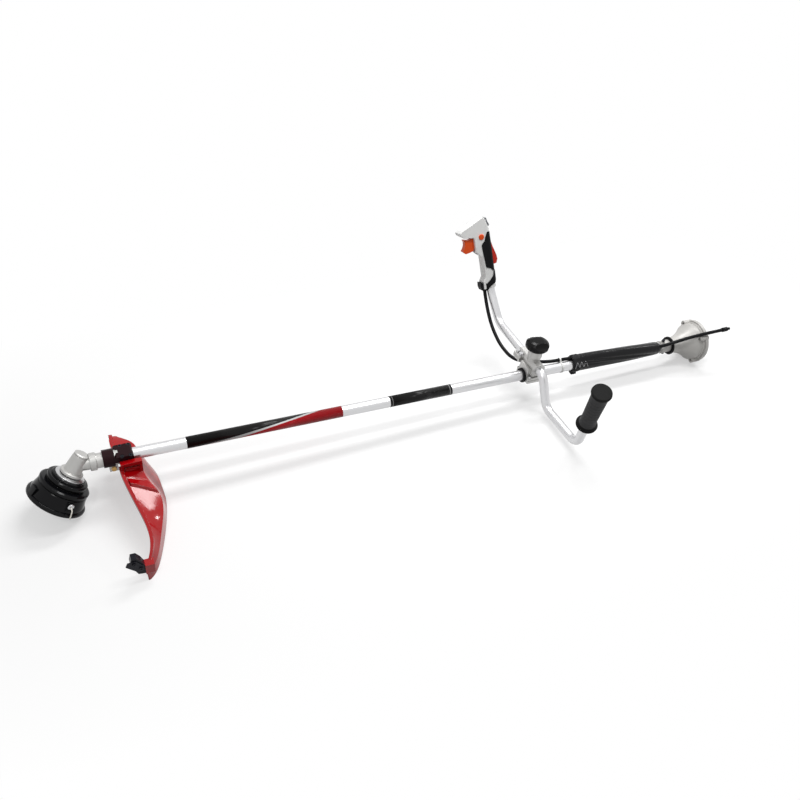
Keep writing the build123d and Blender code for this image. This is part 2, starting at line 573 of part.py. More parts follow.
for x, y in TUBE_BOLTS:
    hole = Pos(x, y, 0) * rod(2.5 + SEAT, -20, 20)
    clamp_low -= hole
    saddle -= Pos(x, y, FLANGE_TOP) * rod(5, 0, 9)
    saddle -= hole
    bolts.append(Pos(x, y, FLANGE_TOP) * cap_screw(2.5, FLANGE_TOP + 7, 4.2, 4.5))
EAR_BOLTS = ((-19.0, 29.0), (-19.0, 43.0))
for x, y in EAR_BOLTS:
    hole = CLAMP * Pos(x, y, 0) * rod(3 + SEAT, -20, 20)
    saddle -= hole
    cap -= hole
    cap -= CLAMP * Pos(x, y, EAR_T) * rod(6.6, 0, 20)
    saddle -= CLAMP * Pos(x, y, -EAR_T) * rod(6.6, -20, 0)
    nut = Pos(0, 0, -2 * EAR_T - 4.5) * extrude(RegularPolygon(5.6, 6), amount=4.5)
    bolts.append(CLAMP * Pos(x, y, EAR_T) * (hex_bolt(3, 2 * EAR_T + 6, 5.6, 7) + nut))
nodes["bar_clamp_bolts"] = group(bolts)
RING_FRONT = TUBE_CLAMP_X[0] - 4.5
nodes["clamp_ring"] = ALONG_X * turned([
    (TUBE_R + SEAT, RING_FRONT), (17.5, RING_FRONT), (18.5, RING_FRONT + 1), (18.5, TUBE_CLAMP_X[0]),
    (TUBE_R + SEAT, TUBE_CLAMP_X[0]),
])
nodes["bar_clamp_lower"] = clamp_low
nodes["bar_clamp_saddle"] = saddle
nodes["bar_clamp_cap"] = cap
nodes["knob_stud"] = CLAMP * rod(STUD_R, STUD_LOW, STUD_TOP)
KNOB_R = 29.0
KNOB_LOW = BOSS_TOP + 0.4
knob = turned([
    (0, KNOB_LOW), (15, KNOB_LOW), (16, KNOB_LOW + 3), (KNOB_R - 2, KNOB_LOW + 5), (KNOB_R, KNOB_LOW + 8),
    (KNOB_R, KNOB_LOW + 16), (KNOB_R - 2, KNOB_LOW + 20), (KNOB_R - 8, KNOB_LOW + 24), (14, KNOB_LOW + 26),
    (0, KNOB_LOW + 26.5),
])
# Finger scoops either side of a raised bridge
for side in (1, -1):
    scoop = Pos(0, side * 34, KNOB_LOW + 38) * Rot(0, 90, 0) * Cylinder(24, 90)
    knob -= scoop
for index in range(12):
    knob -= Rot(0, 0, 30 * index + 15) * Pos(KNOB_R + 3, 0, KNOB_LOW) * rod(4.2, -1, 40)
knob -= rod(STUD_R + RUN, KNOB_LOW - 1, STUD_TOP + 1)
nodes["clamp_knob"] = CLAMP * knob

# Left bar: out of the clamp, down, outward, then up into the grip
grip_foot = Vector(0, GRIP_Y, GRIP_H)
grip_way = Vector(0, -math.sin(math.radians(GRIP_ANGLE)), math.cos(math.radians(GRIP_ANGLE)))
low_corner = grip_foot - grip_way * GRIP_DROP
bar_end = grip_foot + grip_way * (GRIP_LENGTH - 6)
left_path = [(0, -BAR_INNER_END, 0), (0, -50, 0), (0, -82, -84), tuple(low_corner), tuple(bar_end)]
LEFT_BENDS = [24.0, 28.0, 38.0]
nodes["handlebar_left"] = BAR * (swept(left_path, LEFT_BENDS, BAR_R)
                                 - swept(left_path, LEFT_BENDS, BAR_R - BAR_WALL))
grip_profile = [
    (BAR_R + SEAT, 0), (22, 0), (25, 2), (25.5, 5), (23, 9), (19, 14), (18.4, 20),
]
for index in range(8):
    z = 26 + 11 * index
    swell = 18.4 + 0.18 * index
    grip_profile += [(swell, z), (swell - 0.6, z + 1.2), (swell - 0.6, z + 2.6), (swell + 0.1, z + 3.8)]
grip_profile += [
    (20, GRIP_LENGTH - 12), (23, GRIP_LENGTH - 8), (23.8, GRIP_LENGTH - 5), (23, GRIP_LENGTH - 1),
    (21, GRIP_LENGTH), (0, GRIP_LENGTH), (0, GRIP_LENGTH - 6), (BAR_R + SEAT, GRIP_LENGTH - 6),
]
nodes["left_grip"] = GRIP * turned(grip_profile)

# Right bar: out of the clamp, up and outward into the throttle handle
handle_foot = Vector(HANDLE_X, HANDLE_Y, HANDLE_H)
handle_way = Vector(0, -math.sin(math.radians(HANDLE_ANGLE)), math.cos(math.radians(HANDLE_ANGLE)))
BAR_IN_HANDLE = 44.0
right_end = handle_foot + handle_way * BAR_IN_HANDLE
right_path = [(0, BAR_INNER_END, 0), (0, 172, 0), tuple(handle_foot), tuple(right_end)]
RIGHT_BENDS = [40.0, 60.0]
nodes["handlebar_right"] = BAR * (swept(right_path, RIGHT_BENDS, BAR_R)
                                  - swept(right_path, RIGHT_BENDS, BAR_R - BAR_WALL))

# Throttle handle, built in its own frame: x forward, y to the operator's left, z up the grip
handle_outline = [
    (-13, 14), (24, 14), (23, 34), (16, 44), (16, 98), (25, 106), (33, 115), (33, 152), (46, 155),
    (60, 158), (69, 165), (71, 172), (64, 177), (40, 185), (16, 194), (4, 199), (-1, 196), (-12, 164),
    (-12, 110), (-13.5, 66), (-13, 40),
]


def envelope(grow):
    """Upright prism that rounds off the grip's rear corners."""
    width = 2 * (HANDLE_HALF + grow)
    return Pos(40, 0, 0) * extrude(RectangleRounded(107 + 2 * grow, width, 11 + grow), amount=230)


def across(x, z, radius, low, high):
    """Round rod across the handle through a point of its side view."""
    return Pos(x, 0, z) * Rot(90, 0, 0) * rod(radius, low, high)


shell = slab(handle_outline, -HANDLE_HALF, HANDLE_HALF, radius=2.5)
shell = fillet(shell.faces().sort_by(Axis.Y)[0].edges() + shell.faces().sort_by(Axis.Y)[-1].edges(), 2.0)
shell &= envelope(0)
solid_shell = shell
cavity_outline = [
    (-8.5, 62), (12, 62), (12, 100), (21, 109), (29, 118), (29, 155), (46, 159), (58, 162), (65, 167),
    (66, 171), (62, 174), (40, 181), (16, 190), (6, 193), (-8.5, 160), (-8.5, 110),
]
shell -= slab(cavity_outline, -11, 11)
shell -= rod(BAR_R + SEAT, 0, BAR_IN_HANDLE + 0.5)
CABLE_F = 17.6
CABLE_SEAT = 26.0
shell -= Pos(CABLE_F, 0, 0) * rod(CABLE_R + LOOSE, 0, CABLE_SEAT)
LEVER_HALF = 6.3
SLOT_HALF = 7.0
shell -= block((20, 90), (-SLOT_HALF, SLOT_HALF), (106, 154))
shell -= block((-40, -2), (-SLOT_HALF, SLOT_HALF), (67, 146))
SWITCH = Pos(-6, 0, 182) * Rot(0, 19, 0)
shell -= SWITCH * block((-12, 9.5), (-SLOT_HALF, SLOT_HALF), (-15.5, 15.5))
BUTTON_SPOT = (14.0, 151.0)
BUTTON_R = 7.0
button_way = Pos(BUTTON_SPOT[0], 0, BUTTON_SPOT[1]) * Rot(-90, 0, 0)
shell -= button_way * rod(BUTTON_R + RUN, 5, 20)
switch_pivot = (SWITCH * Pos(4, 0, 0)).position
TRIGGER_PIVOT = (26.0, 147.0)
LOCK_PIVOT = (-6.0, 138.0)
SWITCH_PIVOT = (switch_pivot.X, switch_pivot.Z)
PIVOTS = (TRIGGER_PIVOT, LOCK_PIVOT, SWITCH_PIVOT)
PIN_R = 1.8
PIN_HALF = 12.4
for x, z in PIVOTS:
    post = across(x, z, PIN_R + 2.2, -11.5, 11.5)
    post -= block((-60, 120), (-SLOT_HALF - 0.2, SLOT_HALF + 0.2), (0, 230))
    shell += post & solid_shell
    shell -= across(x, z, PIN_R + SEAT, -PIN_HALF - 0.1, PIN_HALF + 0.1)
HANDLE_SCREWS = ((0.0, 56.0), (4.0, 103.0), (42.0, 170.0))
SCREW_R = 1.8
SCREW_SINK = 2.5
for x, z in HANDLE_SCREWS:
    shell += across(x, z, 4.5, -11.5, 11.5) & solid_shell
    shell -= across(x, z, SCREW_R + SEAT, -10, 20)
    shell -= across(x, z, 3.6, HANDLE_HALF - SCREW_SINK, HANDLE_HALF + 3)
half_space = block((-60, 120), (0, 40), (-20, 230))
nodes["handle_shell_left"] = HANDLE * (shell & half_space)
nodes["handle_shell_right"] = HANDLE * (shell - half_space)
screws = []
for x, z in HANDLE_SCREWS:
    screw = cap_screw(SCREW_R, 20, 3.3, 2.0)
    screws.append(HANDLE * Pos(x, -HANDLE_HALF + SCREW_SINK, z) * Rot(90, 0, 0) * screw)
nodes["handle_screws"] = group(screws)
nodes["handle_pins"] = group([HANDLE * across(x, z, PIN_R, -PIN_HALF, PIN_HALF) for x, z in PIVOTS])
pad_outline = [
    (-11, 160), (-3, 160), (4, 147), (6, 139), (13, 134), (16, 128), (14, 100), (11, 71), (0, 66), (-5, 60),
    (-13, 59), (-13, 110),
]
pads = (slab(pad_outline, -16.2, 16.2, radius=1.5) & envelope(1.7)) - solid_shell
pads -= block((-60, 120), (-HANDLE_HALF + 3, HANDLE_HALF - 3), (-20, 230))
nodes["handle_pads"] = HANDLE * group([pads])
stop_outline = [
    (-16, 57), (-15.5, 36), (-10, 27), (6, 20), (15, 11), (22, 9), (28, 12), (31, 21), (30, 33), (26, 31),
    (14, 29), (4, 36), (-6, 46), (-9, 57),
]
stop_plan = [(-30, -17), (12, -17), (26, -11), (40, -8), (40, 8), (26, 11), (12, 17), (-30, 17)]
stop = slab(stop_outline, -17, 17, radius=0.8) & envelope(2.5)
stop &= extrude(make_face(Polyline(*stop_plan, close=True)), amount=70)
stop -= solid_shell
stop -= rod(BAR_R + LOOSE, -10, 60)
stop -= Pos(CABLE_F, 0, 0) * rod(CABLE_R + LOOSE, -10, 40)
nodes["finger_stop"] = HANDLE * group([stop])
trigger_outline = [
    (21, 141), (22, 151), (33, 150), (46, 149), (60, 153), (57, 146), (57.5, 138), (60.5, 131), (66, 124),
    (58, 116), (46, 117), (37, 119), (31, 128), (29, 136),
]
trigger = slab(trigger_outline, -LEVER_HALF, LEVER_HALF, radius=1.2)
nodes["throttle_trigger"] = HANDLE * (trigger - across(*TRIGGER_PIVOT, PIN_R + RUN, -20, 20))
lock_outline = [
    (-11, 143), (-2.5, 142), (-2, 133), (-8, 98), (-8, 80), (-15, 72), (-23, 73), (-27, 83), (-25, 96),
    (-18, 118), (-13.5, 136),
]
lock = slab(lock_outline, -LEVER_HALF, LEVER_HALF, radius=1.0)
nodes["lockout_lever"] = HANDLE * (lock - across(*LOCK_PIVOT, PIN_R + RUN, -20, 20))
rocker = SWITCH * slab([(-7, 10), (-2, 13), (8, 9), (8, -9), (-2, -13), (-7, -10), (-6, 0)],
                       -LEVER_HALF, LEVER_HALF, radius=0.8)
nodes["stop_switch"] = HANDLE * (rocker - across(*SWITCH_PIVOT, PIN_R + RUN, -20, 20))
nodes["start_lock_button"] = HANDLE * button_way * turned([
    (0, 6.5), (BUTTON_R, 6.5), (BUTTON_R, 16.5), (BUTTON_R - 1, 17.5), (0, 17.8)])

# Throttle cable: a loop from the handle round the clamp, then along the tube and out past the housing
handle_seat = place(HANDLE, (CABLE_F, 0, CABLE_SEAT - 2))
handle_exit = place(HANDLE, (CABLE_F, 0, -10))


def lying(x):
    """Angle from +Y towards +Z at which the cable lies round the tube."""
    return 136 + CABLE_TWIST * (x - SLEEVE_REAR)


def on_tube(x):
    """Point of the cable lying against the tube."""
    turn = math.radians(lying(x))
    return (x, CABLE_LIE * math.cos(turn), CABLE_LIE * math.sin(turn))


CABLE_JOIN = SLEEVE_FRONT - 40.0
inner_stations = [SLEEVE_FRONT + SLEEVE_LENGTH * share for share in (0.11, 0.41, 0.7)]
cable_join = Vector(*on_tube(CABLE_JOIN))
join_way = (Vector(*on_tube(inner_stations[0])) - cable_join).normalized()
front_path = [
    tuple(handle_seat), tuple(handle_exit), (-552, 190, 60), (-552, 159, 36), (-551, 119, 19),
    (-549, 91, 14), (-543, 65, 9), (-527, 48, 5), (-500, 36, 7), tuple(cable_join - join_way * 26),
    tuple(cable_join),
]
front_radii = bend_radii(front_path)
nodes["throttle_cable_front"] = swept(front_path, front_radii, CABLE_R)
rear_path = [tuple(cable_join)]
rear_path += [on_tube(x) for x in inner_stations]
rear_path += [on_tube(SLEEVE_REAR), (-62, -26, 38.5), (-2, -38.5, 54.5), (52, -40, 57)]
rear_radii = bend_radii(rear_path)
nodes["throttle_cable_rear"] = swept(rear_path, rear_radii, CABLE_R)
print("cable front radii", [round(r, 1) for r in front_radii])
print("cable rear radii", [round(r, 1) for r in rear_radii])
rear_room = swept(rear_path, rear_radii, CABLE_R + LOOSE)
tail_way = Vector(*rear_path[-1]) - Vector(*rear_path[-2])
tail = Plane(origin=rear_path[-1], z_dir=tail_way)
fitting = turned([
    (CABLE_R + SEAT, -14), (CABLE_R + 1.2, -14), (CABLE_R + 1.4, -12), (CABLE_R + 1.4, 2), (3.6, 4),
    (3.6, 10), (0, 10), (0, 0), (CABLE_R + SEAT, 0),
])
nodes["cable_end_fitting"] = tail.location * fitting


def sleeve_section(x, radius, cover, grow=0.0):
    """Closed outline of the padded sleeve, swollen to cover the cable."""
    swell = CABLE_LIE + CABLE_R + cover - radius
    points = []
    for index in range(16):
        angle = index * 22.5
        away = (angle - lying(x) + 180) % 360 - 180
        r = radius + grow + swell * math.exp(-(away / 42) ** 2)
        r += 0.5 * math.cos(math.radians(3 * angle + x * 1.1))
        points.append((x, r * math.cos(math.radians(angle)), r * math.sin(math.radians(angle))))
    return make_face(Spline(*points, periodic=True))


STRAP_REAR = SLEEVE_FRONT + 20.0
STRAP_T = 1.5
SLEEVE_STATIONS = [
    (SLEEVE_FRONT, 17.4, 1.8), (STRAP_REAR, 18.2, 2.8), (SLEEVE_FRONT + 0.26 * SLEEVE_LENGTH, 18.6, 3.4),
    (SLEEVE_FRONT + 0.5 * SLEEVE_LENGTH, 18.4, 3.2), (SLEEVE_FRONT + 0.74 * SLEEVE_LENGTH, 18.2, 3.0),
    (SLEEVE_FRONT + 0.93 * SLEEVE_LENGTH, 17.6, 2.4), (SLEEVE_REAR, 16.6, 1.8),
]
sleeve_body = loft([sleeve_section(*station) for station in SLEEVE_STATIONS])
sleeve_bore = ALONG_X * rod(TUBE_R + LOOSE, SLEEVE_FRONT - 1, SLEEVE_REAR + 1)
nodes["padded_sleeve"] = sleeve_body - sleeve_bore - rear_room
strap = loft([sleeve_section(*station, STRAP_T) for station in SLEEVE_STATIONS[:2]])
strap += block((SLEEVE_FRONT + 2, STRAP_REAR - 2), (-9, 5), (-23.5, -15))
strap -= loft([sleeve_section(*station, LOOSE) for station in SLEEVE_STATIONS])
strap -= sleeve_bore
nodes["sleeve_strap"] = group([strap])
TIE_HALF = 2.0
ties = []
for x in (SLEEVE_FRONT - 30, SLEEVE_REAR + 5):
    spot = on_tube(x)
    tie = Pos(x, 0, 0) * ALONG_X * rod(TUBE_R + 1.3, -TIE_HALF, TIE_HALF)
    tie += Pos(*spot) * ALONG_X * rod(CABLE_R + 1.6, -TIE_HALF, TIE_HALF)
    bridge = block((-TIE_HALF, TIE_HALF), (-CABLE_R - 1.5, CABLE_R + 1.5), (-8, 0))
    tie += Pos(*spot) * Rot(lying(x) - 90, 0, 0) * bridge
    tie -= ALONG_X * rod(TUBE_R + SEAT, x - 5, x + 5)
    tie -= rear_room
    ties.append(tie)
nodes["cable_ties"] = group(ties)

for name, shape in nodes.items():
    solids = shape.solids()
    print(name, len(solids), round(sum(s.volume for s in solids) / 1000, 2), "cm3")
    export_step(shape, f"parts/{name}.step")
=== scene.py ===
"""Dresses a string trimmer's drive-shaft assembly for a studio picture.

Metres, in the part's own frame: +X runs rearward along the shaft, +Y to the operator's
right and +Z up, from the centre of the clutch housing's engine face.
"""

import logging
import math
from dataclasses import dataclass, field
from enum import Enum
from typing import Iterable, Sequence, Union

import bmesh
import bpy
from mathutils import Matrix, Vector

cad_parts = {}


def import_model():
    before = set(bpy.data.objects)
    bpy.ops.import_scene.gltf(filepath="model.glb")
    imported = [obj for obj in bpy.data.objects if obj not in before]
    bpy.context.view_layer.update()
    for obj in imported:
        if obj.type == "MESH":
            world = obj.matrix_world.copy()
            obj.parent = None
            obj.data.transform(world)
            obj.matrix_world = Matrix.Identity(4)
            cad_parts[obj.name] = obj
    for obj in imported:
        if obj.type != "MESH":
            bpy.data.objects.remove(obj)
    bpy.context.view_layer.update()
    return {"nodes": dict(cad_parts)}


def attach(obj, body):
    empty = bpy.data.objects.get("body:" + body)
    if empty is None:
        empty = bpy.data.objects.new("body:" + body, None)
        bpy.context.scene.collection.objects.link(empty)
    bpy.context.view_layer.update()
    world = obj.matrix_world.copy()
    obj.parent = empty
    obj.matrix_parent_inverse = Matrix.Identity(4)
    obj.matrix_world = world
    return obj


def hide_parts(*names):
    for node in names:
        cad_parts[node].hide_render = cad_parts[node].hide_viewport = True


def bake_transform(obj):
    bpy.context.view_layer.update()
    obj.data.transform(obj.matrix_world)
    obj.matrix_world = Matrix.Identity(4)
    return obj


Colour = tuple[float, float, float]
Point = tuple[float, float, float]
Span = tuple[float, float]
Value = Union[float, Sequence[float], "Wire"]

log = logging.getLogger("trimmer")
ALONG_X = Matrix.Rotation(math.pi / 2.0, 4, "Y")
ACROSS = Vector((0.0, 1.0, 0.0))
WHITE = (1.0, 1.0, 1.0, 1.0)
EDGE_GAIN = 5.0
HARD_CREASE = 35.0
CLOTH_CREASE = 80.0
CORD_STEPS = 12
CORD_ARC_STEPS = 6
CORD_ORDER = 3


class Body(Enum):
    """Bodies of the frame that new pieces ride on."""

    FRAME = "frame"
    HEAD = "head"
    RIGHT_BAR = "right_bar"


class Wire:
    """A shader socket whose Python operators add Math nodes."""

    def __init__(self, graph: "Graph", socket: bpy.types.NodeSocket) -> None:
        """Keeps the socket and the graph that it belongs to."""
        self.graph = graph
        self.socket = socket

    def _math(self, operation: str, first: Value, second: Value) -> "Wire":
        """Adds one Math node.

        Args:
            operation: Name of the node's operation.
            first: Upper input.
            second: Lower input.

        Returns:
            The node's result.
        """
        node = self.graph.node("ShaderNodeMath", {"operation": operation}, {0: first, 1: second})
        return Wire(self.graph, node.outputs[0])

    def __add__(self, other: Value) -> "Wire":
        """Sum."""
        return self._math("ADD", self, other)

    def __radd__(self, other: Value) -> "Wire":
        """Sum with a number first."""
        return self._math("ADD", other, self)

    def __sub__(self, other: Value) -> "Wire":
        """Difference."""
        return self._math("SUBTRACT", self, other)

    def __rsub__(self, other: Value) -> "Wire":
        """Difference from a number."""
        return self._math("SUBTRACT", other, self)

    def __mul__(self, other: Value) -> "Wire":
        """Product."""
        return self._math("MULTIPLY", self, other)

    def __rmul__(self, other: Value) -> "Wire":
        """Product with a number first."""
        return self._math("MULTIPLY", other, self)

    def __truediv__(self, other: Value) -> "Wire":
        """Quotient."""
        return self._math("DIVIDE", self, other)

    def __pow__(self, other: Value) -> "Wire":
        """Power."""
        return self._math("POWER", self, other)

    def sine(self) -> "Wire":
        """Sine of the value in radians."""
        return self._math("SINE", self, 0.0)

    def size(self) -> "Wire":
        """Value without its sign."""
        return self._math("ABSOLUTE", self, 0.0)

    def larger(self, other: Value) -> "Wire":
        """Larger of two values."""
        return self._math("MAXIMUM", self, other)

    def angle(self, across: "Wire") -> "Wire":
        """Angle of the point (across, this) in radians."""
        return self._math("ARCTAN2", self, across)

    def inside(self) -> "Wire":
        """Value held between 0 and 1."""
        return self._math("MINIMUM", self._math("MAXIMUM", self, 0.0), 1.0)


class Graph:
    """A node tree that grows node by node."""

    def __init__(self, tree: bpy.types.NodeTree) -> None:
        """Keeps the tree."""
        self.tree = tree

    def feed(self, socket: bpy.types.NodeSocket, value: Value) -> None:
        """Links a wire to a socket, or sets a plain value on it.

        Args:
            socket: The socket.
            value: Wire or plain value.
        """
        if isinstance(value, Wire):
            self.tree.links.new(value.socket, socket)
        else:
            socket.default_value = value

    def node(
        self,
        kind: str,
        settings: dict[str, object] | None = None,
        sockets: dict[int | str, Value] | None = None,
    ) -> bpy.types.Node:
        """Adds a node.

        Args:
            kind: The node's type.
            settings: Properties to set first.
            sockets: Values or wires for its inputs, by name or place.

        Returns:
            The new node.
        """
        node = self.tree.nodes.new(kind)
        for name, value in (settings or {}).items():
            setattr(node, name, value)
        for name, value in (sockets or {}).items():
            self.feed(node.inputs[name], value)
        return node

    def wire(self, node: bpy.types.Node, output: int | str = 0) -> Wire:
        """A node's output as a wire."""
        return Wire(self, node.outputs[output])

    def seen(self) -> Wire:
        """Tells the rays that show a surface from those that only carry its light.

        Returns:
            1 on camera, mirror and glass rays, and 0 on the others.
        """
        rays = self.node("ShaderNodeLightPath")
        straight = self.wire(rays, "Is Camera Ray").larger(self.wire(rays, "Is Glossy Ray"))
        return straight.larger(self.wire(rays, "Is Transmission Ray"))


class Shader(Graph):
    """One material and its surface."""

    def __init__(self, name: str) -> None:
        """Makes the material.

        Args:
            name: The material's name.
        """
        self.material = bpy.data.materials.new(name)
        self.material.use_nodes = True
        super().__init__(self.material.node_tree)
        self.surface = self.tree.nodes["Principled BSDF"]

    def paint(self, **sockets: Value) -> None:
        """Feeds the surface's sockets, named with _ for a space."""
        for name, value in sockets.items():
            self.feed(self.surface.inputs[name.replace("_", " ").title()], value)

    def place(self) -> Wire:
        """The point on the piece, in the part's frame."""
        return self.wire(self.node("ShaderNodeTexCoord"), "Object")

    def axes(self, place: Wire) -> tuple[Wire, Wire, Wire]:
        """The point's three coordinates."""
        node = self.node("ShaderNodeSeparateXYZ", None, {0: place})
        return self.wire(node, 0), self.wire(node, 1), self.wire(node, 2)

    def stretch(self, place: Wire, scale: Point) -> Wire:
        """The point scaled along each axis."""
        return self.wire(self.node("ShaderNodeMapping", None, {"Vector": place, "Scale": scale}))

    def noise(self, place: Wire, scale: float, detail: float = 3.0) -> Wire:
        """Cloudy noise.

        Args:
            place: Where it is read.
            scale: Clouds in a metre.
            detail: Layers of finer clouds.

        Returns:
            Values around one half.
        """
        sockets = {"Vector": place, "Scale": scale, "Detail": detail}
        return self.wire(self.node("ShaderNodeTexNoise", None, sockets))

    def mix(self, share: Value, first: Value, second: Value) -> Wire:
        """Mixes two colours.

        Args:
            share: Part of the second colour, from 0 to 1.
            first: Colour or wire.
            second: Colour or wire.

        Returns:
            The mixed colour.
        """
        sockets = {0: share, 6: self.opaque(first), 7: self.opaque(second)}
        return self.wire(self.node("ShaderNodeMix", {"data_type": "RGBA"}, sockets), 2)

    @staticmethod
    def opaque(colour: Value) -> Value:
        """A colour with full alpha, or a wire as it is."""
        return colour if isinstance(colour, Wire) else (*colour, 1.0)

    def soft_edge(self, radius: float) -> Wire:
        """The normal, with edges rounded by a radius in metres."""
        return self.wire(self.node("ShaderNodeBevel", {"samples": 4}, {"Radius": radius}))

    def edge_mask(self, soft: Wire) -> Wire:
        """Finds the edges.

        Args:
            soft: The normal with its edges rounded.

        Returns:
            1 along edges and 0 on flat faces.
        """
        flat = self.wire(self.node("ShaderNodeNewGeometry"), "Normal")
        match = self.node("ShaderNodeVectorMath", {"operation": "DOT_PRODUCT"}, {0: soft, 1: flat})
        return ((1.0 - self.wire(match, "Value")) * EDGE_GAIN).inside()

    def relief(self, height: Wire, depth: float, soft: Wire) -> Wire:
        """Bumps over softened edges.

        Args:
            height: Height of the bumps, from 0 to 1.
            depth: Height in metres.
            soft: The normal with its edges rounded.

        Returns:
            The surface's normal.
        """
        bump = self.node("ShaderNodeBump", None, {"Distance": depth, "Height": height, "Normal": soft})
        return self.wire(bump)


@dataclass(frozen=True)
class Finish:
    """An even finish with faint clouds, smudges and fine grain, and with soft edges rubbed paler."""

    name: str
    colour: Colour
    roughness: float
    metallic: float = 0.0
    shine: float = 0.25
    cloud: float = 0.10
    smudge: float = 0.08
    grain: float = 1400.0
    depth: float = 0.00002
    edge: float = 0.0006
    rub: float = 0.04
    cloud_scale: float = 18.0
    smudge_scale: float = 30.0

    def tint(self, shader: Shader, place: Wire) -> Wire:
        """The colour, a little darker in faint clouds."""
        dark = tuple(part * (1.0 - self.cloud) for part in self.colour)
        return shader.mix(shader.noise(place, self.cloud_scale, detail=5.0), dark, self.colour)

    def height(self, shader: Shader, place: Wire) -> Wire:
        """The fine grain's height."""
        return shader.noise(place, self.grain, detail=2.0)

    def gloss(self, shader: Shader, place: Wire) -> Wire:
        """Roughness, changed by smudges."""
        smudges = shader.noise(place, self.smudge_scale, detail=6.0)
        return (smudges - 0.5) * (2.0 * self.smudge) + self.roughness

    def material(self) -> bpy.types.Material:
        """Makes the finish's material.

        Returns:
            The new material.
        """
        shader = Shader(self.name)
        place = shader.place()
        soft = shader.soft_edge(self.edge)
        rubbed = tuple(part + (1.0 - part) * self.rub for part in self.colour)
        shader.paint(
            base_color=shader.mix(shader.edge_mask(soft), self.tint(shader, place), rubbed),
            roughness=self.gloss(shader, place),
            metallic=self.metallic,
            normal=shader.relief(self.height(shader, place), self.depth, soft),
        )
        shader.surface.inputs["Specular IOR Level"].default_value = self.shine
        return shader.material


@dataclass(frozen=True)
class DrawnMetal(Finish):
    """Drawn tube, with fine streaks along the shaft."""

    streak: Point = (9.0, 1500.0, 1500.0)
    haze: Point = (2.0, 400.0, 400.0)

    def height(self, shader: Shader, place: Wire) -> Wire:
        """Fine lengthwise lines."""
        return shader.noise(shader.stretch(place, self.streak), 1.0, detail=3.0)

    def gloss(self, shader: Shader, place: Wire) -> Wire:
        """Roughness, changed along the streaks."""
        lines = shader.noise(shader.stretch(place, self.haze), 1.0, detail=2.0)
        return (lines - 0.5) * (2.0 * self.smudge) + self.roughness


@dataclass(frozen=True)
class CastMetal(Finish):
    """Blasted casting with small pits."""

    pit_scale: float = 520.0
    pit_share: float = 0.5

    def height(self, shader: Shader, place: Wire) -> Wire:
        """Blasted grain with shallow pits."""
        pits = shader.node("ShaderNodeTexVoronoi", None, {"Vector": place, "Scale": self.pit_scale})
        return shader.noise(place, self.grain, detail=3.0) + shader.wire(pits) * self.pit_share


@dataclass(frozen=True)
class CoatedCloth(Finish):
    """Coated cloth, woven along and around the shaft."""

    threads: float = 1500.0
    around: float = 110.0
    slack: Point = (40.0, 170.0, 170.0)
    weave: float = 0.10

    def height(self, shader: Shader, place: Wire) -> Wire:
        """Crossing threads and slack wrinkles.

        Args:
            shader: The material in the making.
            place: The point on the piece.

        Returns:
            The cloth's height.
        """
        x, y, z = shader.axes(place)
        warp = (x * (self.threads * 2.0 * math.pi)).sine()
        weft = (z.angle(y) * self.around).sine()
        wrinkles = shader.noise(shader.stretch(place, self.slack), 1.0, detail=4.0)
        return (warp * weft) * self.weave + wrinkles


@dataclass(frozen=True)
class CappedRubber(Finish):
    """Grip rubber with a darker collar and cap at its two ends."""

    foot: Point = (-0.5169, -0.2410, 0.0419)
    way: Point = (-0.1314, -0.2324, 0.9637)
    body: Span = (0.013, 0.123)
    cap: Colour = (0.004, 0.004, 0.004)
    sharp: float = 800.0

    def ends(self, shader: Shader, place: Wire) -> Wire:
        """Finds the grip's two ends.

        Args:
            shader: The material in the making.
            place: The point on the piece.

        Returns:
            1 on the collar and the cap, 0 between them.
        """
        along = sum(
            (axis - start) * part for axis, start, part in zip(shader.axes(place), self.foot, self.way)
        )
        middle = (self.body[0] + self.body[1]) / 2.0
        reach = (self.body[1] - self.body[0]) / 2.0
        return (((along - middle).size() - reach) * self.sharp).inside()

    def tint(self, shader: Shader, place: Wire) -> Wire:
        """Grey rubber between its darker ends."""
        return shader.mix(self.ends(shader, place), super().tint(shader, place), self.cap)


@dataclass(frozen=True)
class SweptLabel(Finish):
    """Printed tube label: dark at the front, swept into red at the rear over a pale band."""

    start: float = -1.375
    end: float = -1.021
    radius: float = 0.0131
    pale: Colour = (0.78, 0.78, 0.78)
    red: Colour = (0.46, 0.004, 0.010)
    dark_sweep: Point = (1.6, 2.9, 1.05)
    red_sweep: Point = (1.2, 3.3, 1.75)
    sharp: float = 14.0

    @staticmethod
    def sweep(along: Wire, curve: Point) -> Wire:
        """A field's curved edge, from its bend, its rise and its drop at the front."""
        bend, rise, drop = curve
        return along ** bend * rise - drop

    def tint(self, shader: Shader, place: Wire) -> Wire:
        """Two curved colour fields with a pale band between them.

        Args:
            shader: The material in the making.
            place: The point on the piece.

        Returns:
            The label's colour.
        """
        x, y, z = shader.axes(place)
        along = ((x - self.start) / (self.end - self.start)).inside()
        across = (y + z) * (math.sqrt(0.5) / self.radius)
        dark = ((across - self.sweep(along, self.dark_sweep)) * self.sharp).inside()
        red = ((self.sweep(along, self.red_sweep) - across) * self.sharp).inside()
        return shader.mix(red, shader.mix(dark, self.pale, self.colour), self.red)


